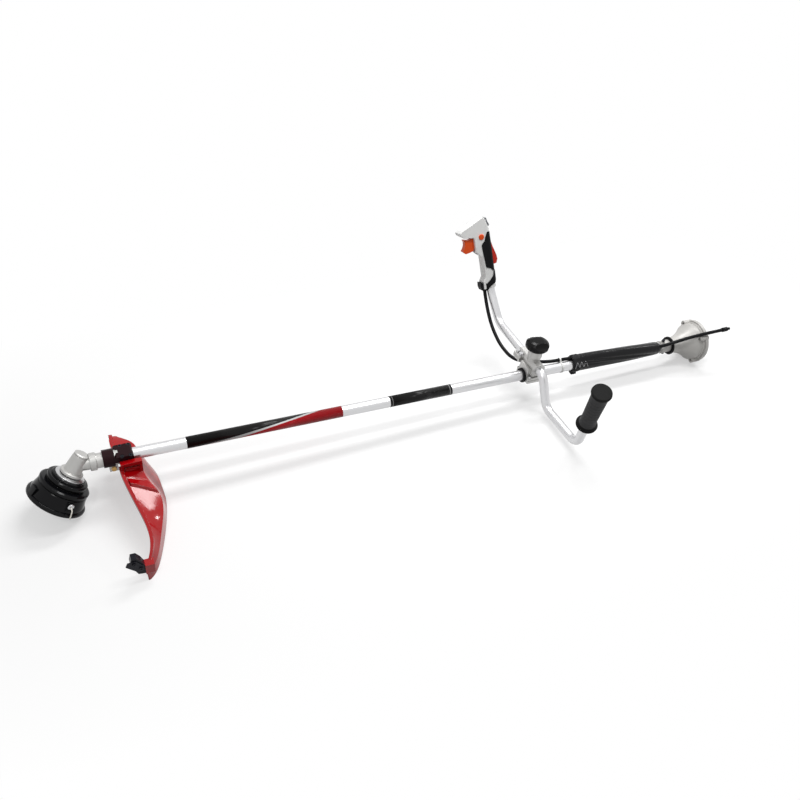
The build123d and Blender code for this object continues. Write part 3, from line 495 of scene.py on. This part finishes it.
@dataclass(frozen=True)
class FramedLabel(Finish):
    """Plain dark tube label with a pale line near each end."""

    start: float = -0.903
    end: float = -0.742
    pale: Colour = (0.45, 0.45, 0.45)
    inset: float = 0.006
    line: float = 0.0012
    sharp: float = 4000.0

    def tint(self, shader: Shader, place: Wire) -> Wire:
        """The dark field and its two end lines.

        Args:
            shader: The material in the making.
            place: The point on the piece.

        Returns:
            The label's colour.
        """
        x, _, _ = shader.axes(place)
        middle = (self.start + self.end) / 2.0
        reach = (self.end - self.start) / 2.0
        off_line = ((x - middle).size() - (reach - self.inset)).size()
        drawn = ((self.line - off_line) * self.sharp).inside()
        return shader.mix(drawn, self.colour, self.pale)


TUBE_SILVER = DrawnMetal(
    "satin_tube", (0.66, 0.66, 0.67), 0.30, metallic=0.85, shine=0.5, cloud=0.03, smudge=0.05,
    depth=0.000012, rub=0.0,
)
CAST_SILVER = CastMetal(
    "cast_alloy", (0.54, 0.535, 0.52), 0.38, metallic=0.65, shine=0.5, cloud=0.14, grain=900.0,
    depth=0.00006, rub=0.12,
)
BELL_SILVER = CastMetal(
    "cast_bell", (0.52, 0.51, 0.49), 0.40, metallic=0.15, shine=0.30, cloud=0.10, grain=900.0,
    depth=0.00005, rub=0.10,
)
STEEL = Finish("plated_steel", (0.56, 0.56, 0.57), 0.26, metallic=1.0, shine=0.5, cloud=0.15)
ZINC_YELLOW = Finish("yellow_zinc", (0.60, 0.38, 0.14), 0.30, metallic=1.0, shine=0.5, cloud=0.20)
BLACK_STEEL = Finish("black_steel", (0.016, 0.016, 0.022), 0.36, metallic=0.3, shine=0.15)
BRONZE = Finish("sintered_bronze", (0.55, 0.36, 0.15), 0.45, metallic=1.0, shine=0.5)
RUBBER = Finish(
    "black_rubber", (0.006, 0.006, 0.007), 0.46, shine=0.08, grain=900.0, depth=0.00008, rub=0.02,
)
GRIP_RUBBER = CappedRubber(
    "grip_rubber", (0.062, 0.062, 0.064), 0.58, shine=0.10, grain=700.0, depth=0.00012, rub=0.01,
)
GUARD_RED = Finish(
    "guard_red", (0.42, 0.0015, 0.004), 0.12, shine=0.38, cloud=0.10, smudge=0.03, grain=220.0,
    edge=0.0012, rub=0.02,
)
# Black plastic; its red tint is a painted reflection of the red guard next to it.
BRACKET_BLACK_PAINTED_RED_REFLECTION = Finish(
    "bracket_black", (0.018, 0.004, 0.006), 0.32, shine=0.10, grain=900.0, depth=0.00006, rub=0.02,
)
CUTTER_BLACK = Finish(
    "cutter_black", (0.008, 0.008, 0.013), 0.28, shine=0.12, grain=900.0, depth=0.00005, rub=0.03,
)
KNOB_BLACK = Finish(
    "knob_black", (0.005, 0.005, 0.005), 0.22, shine=0.11, grain=900.0, depth=0.00005, edge=0.001,
    rub=0.02,
)
HEAD_BLACK = Finish(
    "head_black", (0.004, 0.004, 0.005), 0.13, shine=0.14, smudge=0.04, edge=0.0009, rub=0.02,
)
LINE_PALE = Finish("cutting_line", (0.80, 0.77, 0.70), 0.35, edge=0.0002)
HANDLE_WHITE = Finish(
    "handle_white", (0.86, 0.86, 0.85), 0.36, shine=0.4, cloud=0.04, grain=1100.0, depth=0.00001,
    edge=0.001,
)
TRIGGER_ORANGE = Finish("trigger_orange", (0.80, 0.085, 0.006), 0.30, cloud=0.08)
LEVER_RED = Finish("lever_red", (0.58, 0.022, 0.010), 0.32, cloud=0.08)
SWITCH_GREY = Finish("switch_grey", (0.16, 0.165, 0.18), 0.42)
CABLE_BLACK = Finish(
    "cable_black", (0.005, 0.005, 0.006), 0.32, shine=0.10, grain=500.0, depth=0.00004, edge=0.0003,
    rub=0.0,
)
SLEEVE_BLACK = CoatedCloth(
    "sleeve_cloth", (0.005, 0.005, 0.006), 0.24, shine=0.20, cloud=0.2, depth=0.00010, edge=0.0004,
    rub=0.0,
)
WEBBING_BLACK = CoatedCloth(
    "strap_webbing", (0.010, 0.010, 0.011), 0.55, shine=0.15, depth=0.0003, edge=0.0004,
)
LACE_GREY = Finish("lace_thread", (0.34, 0.34, 0.35), 0.45, grain=2500.0, edge=0.0002)
TIE_WHITE = Finish("tie_white", (0.82, 0.82, 0.80), 0.40, edge=0.0003)
FRONT_LABEL = SweptLabel("front_label", (0.008, 0.007, 0.007), 0.24, shine=0.16, edge=0.0002, rub=0.0)
REAR_LABEL = FramedLabel("rear_label", (0.008, 0.008, 0.008), 0.24, shine=0.16, edge=0.0002, rub=0.0)


@dataclass
class Workshop:
    """The frame's CAD nodes, and one material for each finish."""

    nodes: dict[str, bpy.types.Object]
    made: dict[str, bpy.types.Material] = field(default_factory=dict)

    def material(self, finish: Finish) -> bpy.types.Material:
        """Finds a finish's material, or makes it on first use.

        Args:
            finish: The finish.

        Returns:
            Its one material.
        """
        if finish.name not in self.made:
            self.made[finish.name] = finish.material()
        return self.made[finish.name]

    def dress(self, finish: Finish, *names: str) -> None:
        """Gives CAD nodes a finish.

        Args:
            finish: The finish.
            names: The nodes.
        """
        for name in names:
            for slot in self.nodes[name].material_slots:
                slot.material = self.material(finish)
            log.info("dressed %s in %s", name, finish.name)

    def piece(self, name: str, data: bpy.types.ID, finish: Finish, slot: str) -> bpy.types.Object:
        """Adds a new piece at the origin.

        Args:
            name: The piece's name.
            data: Its mesh or curve, placed in the part's frame.
            finish: Its finish.
            slot: Not used.

        Returns:
            The new object.
        """
        data.materials.append(self.material(finish))
        made = bpy.data.objects.new(name, data)
        bpy.context.scene.collection.objects.link(made)
        log.info("made %s", name)
        return made


def mesh_of(name: str, shape: bmesh.types.BMesh, crease: float = HARD_CREASE) -> bpy.types.Mesh:
    """Turns a bmesh into a mesh with smooth faces and sharp creases.

    Args:
        name: The mesh's name.
        shape: The bmesh, which is freed.
        crease: Angle in degrees from which an edge stays sharp.

    Returns:
        The new mesh.
    """
    bmesh.ops.recalc_face_normals(shape, faces=shape.faces)
    for face in shape.faces:
        face.smooth = True
    for edge in shape.edges:
        edge.smooth = edge.calc_face_angle(0.0) < math.radians(crease)
    mesh = bpy.data.meshes.new(name)
    shape.to_mesh(mesh)
    shape.free()
    return mesh


def open_tube(span: Span, radius: float, sides: int) -> bmesh.types.BMesh:
    """An open tube along the shaft.

    Args:
        span: Its two ends.
        radius: Its radius.
        sides: Faces around it.

    Returns:
        The new bmesh.
    """
    shape = bmesh.new()
    middle = Matrix.Translation(((span[0] + span[1]) / 2.0, 0.0, 0.0))
    bmesh.ops.create_cone(
        shape, cap_ends=False, segments=sides, radius1=radius, radius2=radius, depth=span[1] - span[0],
        matrix=middle @ ALONG_X,
    )
    return shape


def thicken(piece: bpy.types.Object, thickness: float, offset: float) -> None:
    """Gives a thin piece its wall.

    Args:
        piece: The piece.
        thickness: The wall's thickness.
        offset: 1 to grow outwards, -1 to grow inwards.
    """
    wall = piece.modifiers.new("wall", "SOLIDIFY")
    wall.thickness = thickness
    wall.offset = offset


def angle_from(middle: float, angle: float) -> float:
    """The angle from a middle one, between -180 and 180 degrees."""
    return (angle - middle + 180.0) % 360.0 - 180.0


def route_curve(name: str, points: Iterable[Point], radius: float) -> bpy.types.Curve:
    """A round cord on one smooth spline.

    Args:
        name: The curve's name.
        points: The spline's control points.
        radius: The cord's radius, or 0 for its line alone.

    Returns:
        The new curve.
    """
    curve = bpy.data.curves.new(name, "CURVE")
    curve.dimensions = "3D"
    curve.resolution_u = CORD_STEPS
    curve.bevel_depth = radius
    curve.bevel_resolution = CORD_ARC_STEPS
    curve.use_fill_caps = True
    points = list(points)
    spline = curve.splines.new("NURBS")
    spline.points.add(len(points) - 1)
    for knot, point in zip(spline.points, points):
        knot.co = (*point, 1.0)
    spline.order_u = CORD_ORDER
    spline.use_endpoint_u = True
    return curve


def curve_mesh(curve: bpy.types.Curve) -> bpy.types.Mesh:
    """Makes a mesh of a curve.

    Args:
        curve: The curve, which stays.

    Returns:
        The new mesh.
    """
    holder = bpy.data.objects.new(curve.name, curve)
    mesh = bpy.data.meshes.new_from_object(holder)
    bpy.data.objects.remove(holder)
    return mesh


def length_of(points: Sequence[Vector]) -> float:
    """Length of a line through points."""
    return sum((after - before).length for before, after in zip(points, points[1:]))


def spline_points(name: str, points: Iterable[Point]) -> list[Vector]:
    """Points along the smooth spline of a route.

    Args:
        name: Name for the passing curve.
        points: The route.

    Returns:
        Points in order along the spline.
    """
    curve = route_curve(name, points, 0.0)
    mesh = curve_mesh(curve)
    line = [vertex.co.copy() for vertex in mesh.vertices]
    bpy.data.meshes.remove(mesh)
    bpy.data.curves.remove(curve)
    return line


@dataclass(frozen=True)
class Lamp:
    """A soft box: where it hangs, what it faces, its two sides and its power in watts."""

    name: str
    stand: Point
    aim: Point
    size: Span
    power: float

    def hang(self) -> None:
        """Adds the lamp to the scene."""
        data = bpy.data.lights.new(self.name, "AREA")
        data.shape = "RECTANGLE"
        data.size, data.size_y = self.size
        data.energy = self.power
        lamp = bpy.data.objects.new(self.name, data)
        turn = (Vector(self.aim) - Vector(self.stand)).to_track_quat("-Z", "Y")
        lamp.matrix_world = Matrix.Translation(self.stand) @ turn.to_matrix().to_4x4()
        bpy.context.scene.collection.objects.link(lamp)


@dataclass
class Studio:
    """Camera, floor, soft lamps and a white surround."""

    focal: float = 850.0
    picture: float = 800.0
    sensor: float = 36.0
    stand: Point = (-1.588, -1.322, 1.321)
    right: Point = (0.9157, -0.3873, 0.1071)
    up: Point = (0.1851, 0.6432, 0.7430)
    back: Point = (-0.3567, -0.6605, 0.6607)
    floor_front: Point = (-1.6069, 0.0, -0.1086)
    floor_rear: Point = (0.0, 0.0, -0.0562)
    floor_size: float = 12.0
    floor_colour: Colour = (0.96, 0.96, 0.96)
    floor_bounce: Colour = (0.36, 0.36, 0.36)
    floor_roughness: float = 0.9
    floor_glow: Span = (0.45, 1.0)
    glow_middle: float = -0.80
    glow_half: float = 0.80
    glow_reach: float = 0.60
    surround: float = 0.22
    lamps: tuple[Lamp, ...] = (
        Lamp("overhead", (-0.30, 0.90, 1.95), (-0.30, 0.0, 0.0), (1.5, 0.4), 32.0),
        Lamp("front", (-2.3, -1.3, 2.3), (-1.0, 0.0, 0.0), (0.35, 0.35), 11.0),
        Lamp("top", (-0.40, -0.20, 2.2), (-0.40, 0.0, 0.0), (1.6, 0.3), 22.0),
        Lamp("rear", (1.6, 0.75, 2.0), (-0.25, 0.0, 0.0), (0.25, 0.25), 10.0),
    )

    def build(self) -> None:
        """Sets up the whole studio."""
        bpy.context.scene.view_settings.view_transform = "Standard"
        self._camera()
        self._floor()
        for lamp in self.lamps:
            lamp.hang()
        self._world()

    def _camera(self) -> None:
        """Camera at the photograph's place and angle."""
        data = bpy.data.cameras.new("camera")
        data.sensor_width = self.sensor
        data.lens = self.focal / self.picture * self.sensor
        camera = bpy.data.objects.new("camera", data)
        turn = Matrix((self.right, self.up, self.back)).transposed().to_4x4()
        camera.matrix_world = Matrix.Translation(self.stand) @ turn
        bpy.context.scene.collection.objects.link(camera)
        bpy.context.scene.camera = camera

    def _floor(self) -> None:
        """Pale floor that the head's rim and the clutch housing touch."""
        front = Vector(self.floor_front)
        slope = (Vector(self.floor_rear) - front).normalized()
        turn = Matrix((slope, ACROSS, slope.cross(ACROSS))).transposed().to_4x4()
        shape = bmesh.new()
        bmesh.ops.create_grid(
            shape, x_segments=1, y_segments=1, size=self.floor_size,
            matrix=Matrix.Translation(front) @ turn,
        )
        floor = bpy.data.objects.new("floor", mesh_of("floor", shape))
        floor.data.materials.append(self._floor_paint())
        bpy.context.scene.collection.objects.link(floor)

    def _floor_paint(self) -> bpy.types.Material:
        """Paint that looks white but for shadows near the part, and throws less light back.

        Returns:
            The new material.
        """
        shader = Shader("studio_floor")
        seen = shader.seen()
        tint = shader.mix(seen, self.floor_bounce, self.floor_colour)
        shader.paint(base_color=tint, roughness=self.floor_roughness)
        x, y, _ = shader.axes(shader.place())
        beyond = ((x - self.glow_middle).size() - self.glow_half).larger(0.0)
        away = ((beyond ** 2.0 + y * y) ** 0.5 / self.glow_reach).inside()
        near, far = self.floor_glow
        glow = shader.node("ShaderNodeEmission", None, {"Strength": 1.0})
        blend = shader.node("ShaderNodeMixShader", None, {0: seen * (away * (far - near) + near)})
        shader.tree.links.new(shader.surface.outputs[0], blend.inputs[1])
        shader.tree.links.new(glow.outputs[0], blend.inputs[2])
        shader.tree.links.new(blend.outputs[0], shader.tree.nodes["Material Output"].inputs[0])
        return shader.material

    def _world(self) -> None:
        """Surround that looks white, and lights the part softly."""
        world = bpy.data.worlds.new("surround")
        world.use_nodes = True
        bpy.context.scene.world = world
        graph = Graph(world.node_tree)
        sky = world.node_tree.nodes["Background"]
        graph.feed(sky.inputs["Color"], WHITE)
        graph.feed(sky.inputs["Strength"], graph.seen() * (1.0 - self.surround) + self.surround)


class Assembly:
    """A sub-assembly: the finishes of its CAD nodes, and the pieces that are added to it."""

    finishes: dict[Finish, tuple[str, ...]] = {}

    def build(self, shop: Workshop) -> None:
        """Adds the sub-assembly's new pieces, if it has any."""

    def dress(self, shop: Workshop) -> None:
        """Gives each CAD node its finish."""
        for finish, names in self.finishes.items():
            shop.dress(finish, *names)


@dataclass
class DriveTube(Assembly):
    """Shaft tube with its two printed labels, bushings and drive shaft."""

    finishes = {TUBE_SILVER: ("shaft_tube",), BRONZE: ("shaft_bushings",), STEEL: ("drive_shaft",)}
    radius: float = 0.01306
    skin: float = 0.00008
    sides: int = 96
    labels: tuple[SweptLabel | FramedLabel, ...] = (FRONT_LABEL, REAR_LABEL)

    def build(self, shop: Workshop) -> None:
        """Wraps each label round the tube.

        Args:
            shop: Where pieces and materials are made.
        """
        for finish in self.labels:
            shape = open_tube((finish.start, finish.end), self.radius, self.sides)
            label = shop.piece(finish.name, mesh_of(finish.name, shape), finish, "tube_silver")
            thicken(label, self.skin, 1.0)
            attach(label, Body.FRAME.value)


class ClutchEnd(Assembly):
    """Clutch housing, its drum and their fittings."""

    finishes = {
        BELL_SILVER: ("clutch_housing",),
        RUBBER: ("housing_damper_ring",),
        BLACK_STEEL: ("housing_clamp_screws",),
        STEEL: ("clutch_drum", "drum_bearings", "drum_circlip"),
    }


class GearHead(Assembly):
    """Gear case with its gears, shafts and bearings."""

    finishes = {
        CAST_SILVER: ("gear_case",),
        RUBBER: ("output_seal",),
        ZINC_YELLOW: ("gear_clamp_bolt",),
        STEEL: (
            "grease_plug", "pinion", "pinion_bearings", "bevel_gear", "output_shaft", "output_bearings",
        ),
    }


@dataclass
class TrimmerHead(Assembly):
    """Bump-feed line head with two line ends."""

    finishes = {
        HEAD_BLACK: ("head_housing", "head_cover", "bump_knob", "spool"),
        STEEL: ("head_adapter", "line_eyelets", "spool_spring"),
        LINE_PALE: ("line_winding",),
    }
    line_radius: float = 0.0013
    stubs: tuple[tuple[Point, ...], ...] = (
        ((-1.6257, -0.0639, -0.0463), (-1.6229, -0.0755, -0.0453), (-1.6251, -0.0856, -0.0487),
         (-1.6314, -0.0919, -0.0563)),
        ((-1.6503, 0.0368, -0.0548), (-1.6532, 0.0484, -0.0558), (-1.6580, 0.0560, -0.0618),
         (-1.6647, 0.0577, -0.0714)),
    )

    def build(self, shop: Workshop) -> None:
        """Lays a line end out of each eyelet.

        Args:
            shop: Where pieces and materials are made.
        """
        for side, route in zip(("left", "right"), self.stubs):
            name = f"line_end_{side}"
            stub = shop.piece(name, route_curve(name, route, self.line_radius), LINE_PALE, "line_pale")
            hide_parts("line_stubs")
            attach(stub, Body.HEAD.value)
            length_of(spline_points(name, route))


class LineGuard(Assembly):
    """Guard, its bracket and the line cutter."""

    finishes = {
        GUARD_RED: ("guard",),
        BRACKET_BLACK_PAINTED_RED_REFLECTION: ("guard_bracket_upper", "guard_bracket_lower"),
        CUTTER_BLACK: ("line_cutter_holder",),
        BLACK_STEEL: ("guard_bolts", "cutter_screws", "line_cutter_blade"),
    }


class Handlebars(Assembly):
    """Handlebar clamp, both bars and the left grip."""

    finishes = {
        CAST_SILVER: ("bar_clamp_lower", "bar_clamp_saddle", "bar_clamp_cap"),
        STEEL: ("bar_clamp_bolts", "knob_stud"),
        RUBBER: ("clamp_ring",),
        KNOB_BLACK: ("clamp_knob",),
        TUBE_SILVER: ("handlebar_left", "handlebar_right"),
        GRIP_RUBBER: ("left_grip",),
    }


class ThrottleHandle(Assembly):
    """Throttle handle with its trigger, levers and pads."""

    finishes = {
        HANDLE_WHITE: ("handle_shell_left", "handle_shell_right"),
        STEEL: ("handle_screws", "handle_pins"),
        RUBBER: ("handle_pads", "finger_stop"),
        TRIGGER_ORANGE: ("throttle_trigger", "start_lock_button"),
        LEVER_RED: ("lockout_lever",),
        SWITCH_GREY: ("stop_switch",),
    }


@dataclass
class ThrottleCable(Assembly):
    """Throttle cable from the handle to its free end past the clutch housing."""

    finishes = {CABLE_BLACK: ("cable_end_fitting",), TIE_WHITE: ("cable_ties",)}
    radius: float = 0.0045
    front: tuple[Point, ...] = (
        (-0.5531, 0.2343, 0.1171), (-0.5485, 0.2218, 0.0857), (-0.5520, 0.1900, 0.0600),
        (-0.5520, 0.1590, 0.0360), (-0.5510, 0.1190, 0.0190), (-0.5490, 0.0910, 0.0140),
        (-0.5430, 0.0650, 0.0090), (-0.5270, 0.0480, 0.0050), (-0.5000, 0.0360, 0.0070),
        (-0.4659, 0.0130, 0.0144), (-0.4400, 0.0110, 0.0154),
    )
    rear: tuple[Point, ...] = (
        (-0.4400, 0.0110, 0.0154), (-0.3704, 0.0055, 0.0181), (-0.2897, -0.0014, 0.0189),
        (-0.2117, -0.0079, 0.0172), (-0.1310, -0.0136, 0.0131), (-0.0620, -0.0260, 0.0385),
        (-0.0020, -0.0385, 0.0545), (0.0520, -0.0400, 0.0570),
    )
    held_at: Point = (-0.527, 0.048, 0.010)
    free_at: Point = (-0.552, 0.175, 0.046)

    def build(self, shop: Workshop) -> None:
        """Lays both lengths of the cable.

        Args:
            shop: Where pieces and materials are made.
        """
        line = spline_points("cable_line", self.front)
        curve = route_curve("throttle_cable_loop", self.front, self.radius)
        loop = shop.piece("throttle_cable_loop", curve_mesh(curve), CABLE_BLACK, "cable_black")
        bpy.data.curves.remove(curve)
        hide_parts("throttle_cable_front")
        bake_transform(loop)
        name = "throttle_cable_tail"
        tail = shop.piece(name, route_curve(name, self.rear, self.radius), CABLE_BLACK, "cable_black")
        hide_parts("throttle_cable_rear")
        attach(tail, Body.FRAME.value)
        length_of(spline_points("tail_line", self.rear))


@dataclass(frozen=True)
class Fold:
    """A long fold in the sleeve, from one angle at its front end to another at its rear end."""

    front_angle: float
    rear_angle: float
    start: float
    end: float
    width: float
    height: float
    taper: float = 0.6

    def rise(self, x: float, angle: float) -> float:
        """Height of the fold at a point.

        Args:
            x: Place along the shaft.
            angle: Angle about the shaft in degrees, from +Y towards +Z.

        Returns:
            The height in metres.
        """
        share = (x - self.start) / (self.end - self.start)
        if not 0.0 < share < 1.0:
            return 0.0
        middle = self.front_angle + (self.rear_angle - self.front_angle) * share
        spread = math.exp(-((angle_from(middle, angle) / self.width) ** 2))
        return self.height * math.sin(math.pi * share) ** self.taper * spread


@dataclass
class PaddedSleeve(Assembly):
    """Coated cloth sleeve over the tube and the cable, laced and strapped at its front end.

    Each station holds a place along the shaft, the radius there, the swelling over the cable
    and the swelling's angle in degrees.
    """

    stations: tuple[tuple[float, float, float, float], ...] = (
        (-0.4000, 0.0174, 0.0078, 65.1),
        (-0.3800, 0.0182, 0.0080, 70.4),
        (-0.3301, 0.0186, 0.0082, 83.6),
        (-0.2655, 0.0184, 0.0082, 100.6),
        (-0.2009, 0.0182, 0.0082, 117.6),
        (-0.1498, 0.0176, 0.0082, 131.0),
        (-0.1310, 0.0166, 0.0086, 136.0),
    )
    folds: tuple[Fold, ...] = (
        Fold(112.0, 183.0, -0.402, -0.129, 8.0, -0.0026),
        Fold(130.0, 200.0, -0.396, -0.150, 9.0, 0.0014),
        Fold(150.0, 176.0, -0.385, -0.215, 7.0, -0.0008),
        Fold(24.0, 92.0, -0.380, -0.150, 10.0, 0.0009),
        Fold(190.0, 228.0, -0.360, -0.170, 12.0, 0.0010),
        Fold(96.0, 150.0, -0.300, -0.140, 7.0, -0.0006),
        Fold(262.0, 300.0, -0.390, -0.230, 12.0, 0.0009),
        Fold(310.0, 350.0, -0.330, -0.140, 11.0, 0.0008),
    )
    wall: float = 0.0014
    sides: int = 120
    rings: int = 170
    swell_width: float = 42.0
    pucker_height: float = 0.00045
    pucker_wave: float = 540.0
    pucker_sway: float = 1.6
    pucker_turns: float = 3.0
    pucker_reach: float = 0.022
    hem_depth: float = 0.0012
    hem_reach: float = 0.0018
    strap_span: Span = (-0.398, -0.382)
    strap_rise: float = 0.0003
    strap_wall: float = 0.0008
    strap_rings: int = 8
    buckle_at: Point = (-0.389, -0.003, -0.0215)
    buckle_size: Point = (0.015, 0.013, 0.008)
    buckle_round: float = 0.0013
    lace_start: float = -0.396
    lace_step: float = 0.0062
    lace_steps: int = 7
    lace_angle: float = 148.0
    lace_half: float = 24.0
    lace_radius: float = 0.0008
    lace_lift: float = 0.0006

    def shape_at(self, x: float) -> tuple[float, float, float]:
        """Finds the sleeve's section at a place along the shaft.

        Args:
            x: The place.

        Returns:
            Radius, swelling and the swelling's angle in degrees.
        """
        for before, after in zip(self.stations, self.stations[1:]):
            if x <= after[0]:
                break
        share = min(max((x - before[0]) / (after[0] - before[0]), 0.0), 1.0)
        radius, swell, middle = (low + (high - low) * share for low, high in zip(before[1:], after[1:]))
        return radius, swell, middle

    def reach(self, x: float, angle: float) -> float:
        """Distance of the cloth from the shaft's axis.

        Args:
            x: Place along the shaft.
            angle: Angle about the shaft in degrees.

        Returns:
            The distance in metres.
        """
        radius, swell, middle = self.shape_at(x)
        reach = radius + swell * math.exp(-((angle_from(middle, angle) / self.swell_width) ** 2))
        reach += sum(fold.rise(x, angle) for fold in self.folds)
        near_end = min(x - self.stations[0][0], self.stations[-1][0] - x)
        sway = self.pucker_sway * math.sin(math.radians(self.pucker_turns * angle))
        pucker = self.pucker_height * math.sin(x * self.pucker_wave + sway)
        reach += pucker * math.exp(-near_end / self.pucker_reach)
        return reach - self.hem_depth * math.exp(-near_end / self.hem_reach)

    def tube(self, span: Span, rings: int, rise: float) -> bmesh.types.BMesh:
        """A tube of cloth.

        Args:
            span: Its two ends along the shaft.
            rings: Rows of faces along it.
            rise: How far it stands off the sleeve's own surface.

        Returns:
            The new bmesh.
        """
        shape = open_tube(span, 1.0, self.sides)
        half = (span[1] - span[0]) / 2.0
        runs = [edge for edge in shape.edges if abs(edge.verts[0].co.x - edge.verts[1].co.x) > half]
        bmesh.ops.subdivide_edges(shape, edges=runs, cuts=rings - 1, use_grid_fill=True)
        for vertex in shape.verts:
            turn = math.atan2(vertex.co.z, vertex.co.y)
            reach = self.reach(vertex.co.x, math.degrees(turn)) + rise
            vertex.co.y = reach * math.cos(turn)
            vertex.co.z = reach * math.sin(turn)
        return shape

    def build(self, shop: Workshop) -> None:
        """Makes the sleeve, its strap, buckle and lacing.

        Args:
            shop: Where pieces and materials are made.
        """
        self._sleeve(shop)
        self._strap(shop)
        self._lacing(shop)

    def _sleeve(self, shop: Workshop) -> None:
        """Makes the folded sleeve.

        Args:
            shop: Where pieces and materials are made.
        """
        name = "cable_sleeve"
        shape = self.tube((self.stations[0][0], self.stations[-1][0]), self.rings, 0.0)
        sleeve = shop.piece(name, mesh_of(name, shape, CLOTH_CREASE), SLEEVE_BLACK, "sleeve_black")
        thicken(sleeve, self.wall, -1.0)
        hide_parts("padded_sleeve")
        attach(sleeve, Body.FRAME.value)

    def _strap(self, shop: Workshop) -> None:
        """Makes the webbing strap and its small buckle under the tube.

        Args:
            shop: Where pieces and materials are made.
        """
        name = "sleeve_strap_webbing"
        shape = self.tube(self.strap_span, self.strap_rings, self.strap_rise)
        strap = shop.piece(name, mesh_of(name, shape, CLOTH_CREASE), WEBBING_BLACK, "sleeve_black")
        thicken(strap, self.strap_wall, 1.0)
        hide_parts("sleeve_strap")
        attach(strap, Body.FRAME.value)
        name = "sleeve_strap_buckle"
        shape = bmesh.new()
        place = Matrix.Translation(self.buckle_at) @ Matrix.Diagonal((*self.buckle_size, 1.0))
        bmesh.ops.create_cube(shape, size=1.0, matrix=place)
        bmesh.ops.bevel(
            shape, geom=shape.edges[:], offset=self.buckle_round, offset_type="OFFSET", affect="EDGES",
            segments=3, profile=0.5, material=-1,
        )
        buckle = shop.piece(name, mesh_of(name, shape), CUTTER_BLACK, "sleeve_black")
        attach(buckle, Body.FRAME.value)

    def _lacing(self, shop: Workshop) -> None:
        """Lays a lace to and fro over the sleeve's seam near its front end.

        Args:
            shop: Where pieces and materials are made.
        """
        name = "sleeve_lace"
        route = []
        for step in range(2 * self.lace_steps - 1):
            x = self.lace_start + self.lace_step * step / 2.0
            angle = self.lace_angle + self.lace_half * math.cos(math.pi * step / 2.0)
            turn = math.radians(angle)
            reach = self.reach(x, angle) + self.lace_lift
            if x < self.strap_span[1]:
                reach += self.strap_rise + self.strap_wall
            route.append((x, reach * math.cos(turn), reach * math.sin(turn)))
        lace = shop.piece(name, route_curve(name, route, self.lace_radius), LACE_GREY, "sleeve_black")
        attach(lace, Body.FRAME.value)


def main() -> None:
    """Builds the studio and each sub-assembly."""
    logging.basicConfig(level=logging.INFO, format="%(message)s")
    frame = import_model()
    shop = Workshop(frame["nodes"])
    Studio().build()
    for assembly in (
        ThrottleCable(), DriveTube(), ClutchEnd(), GearHead(), TrimmerHead(), LineGuard(), Handlebars(),
        ThrottleHandle(), PaddedSleeve(),
    ):
        assembly.build(shop)
        assembly.dress(shop)


if __name__ == "__main__":
    main()
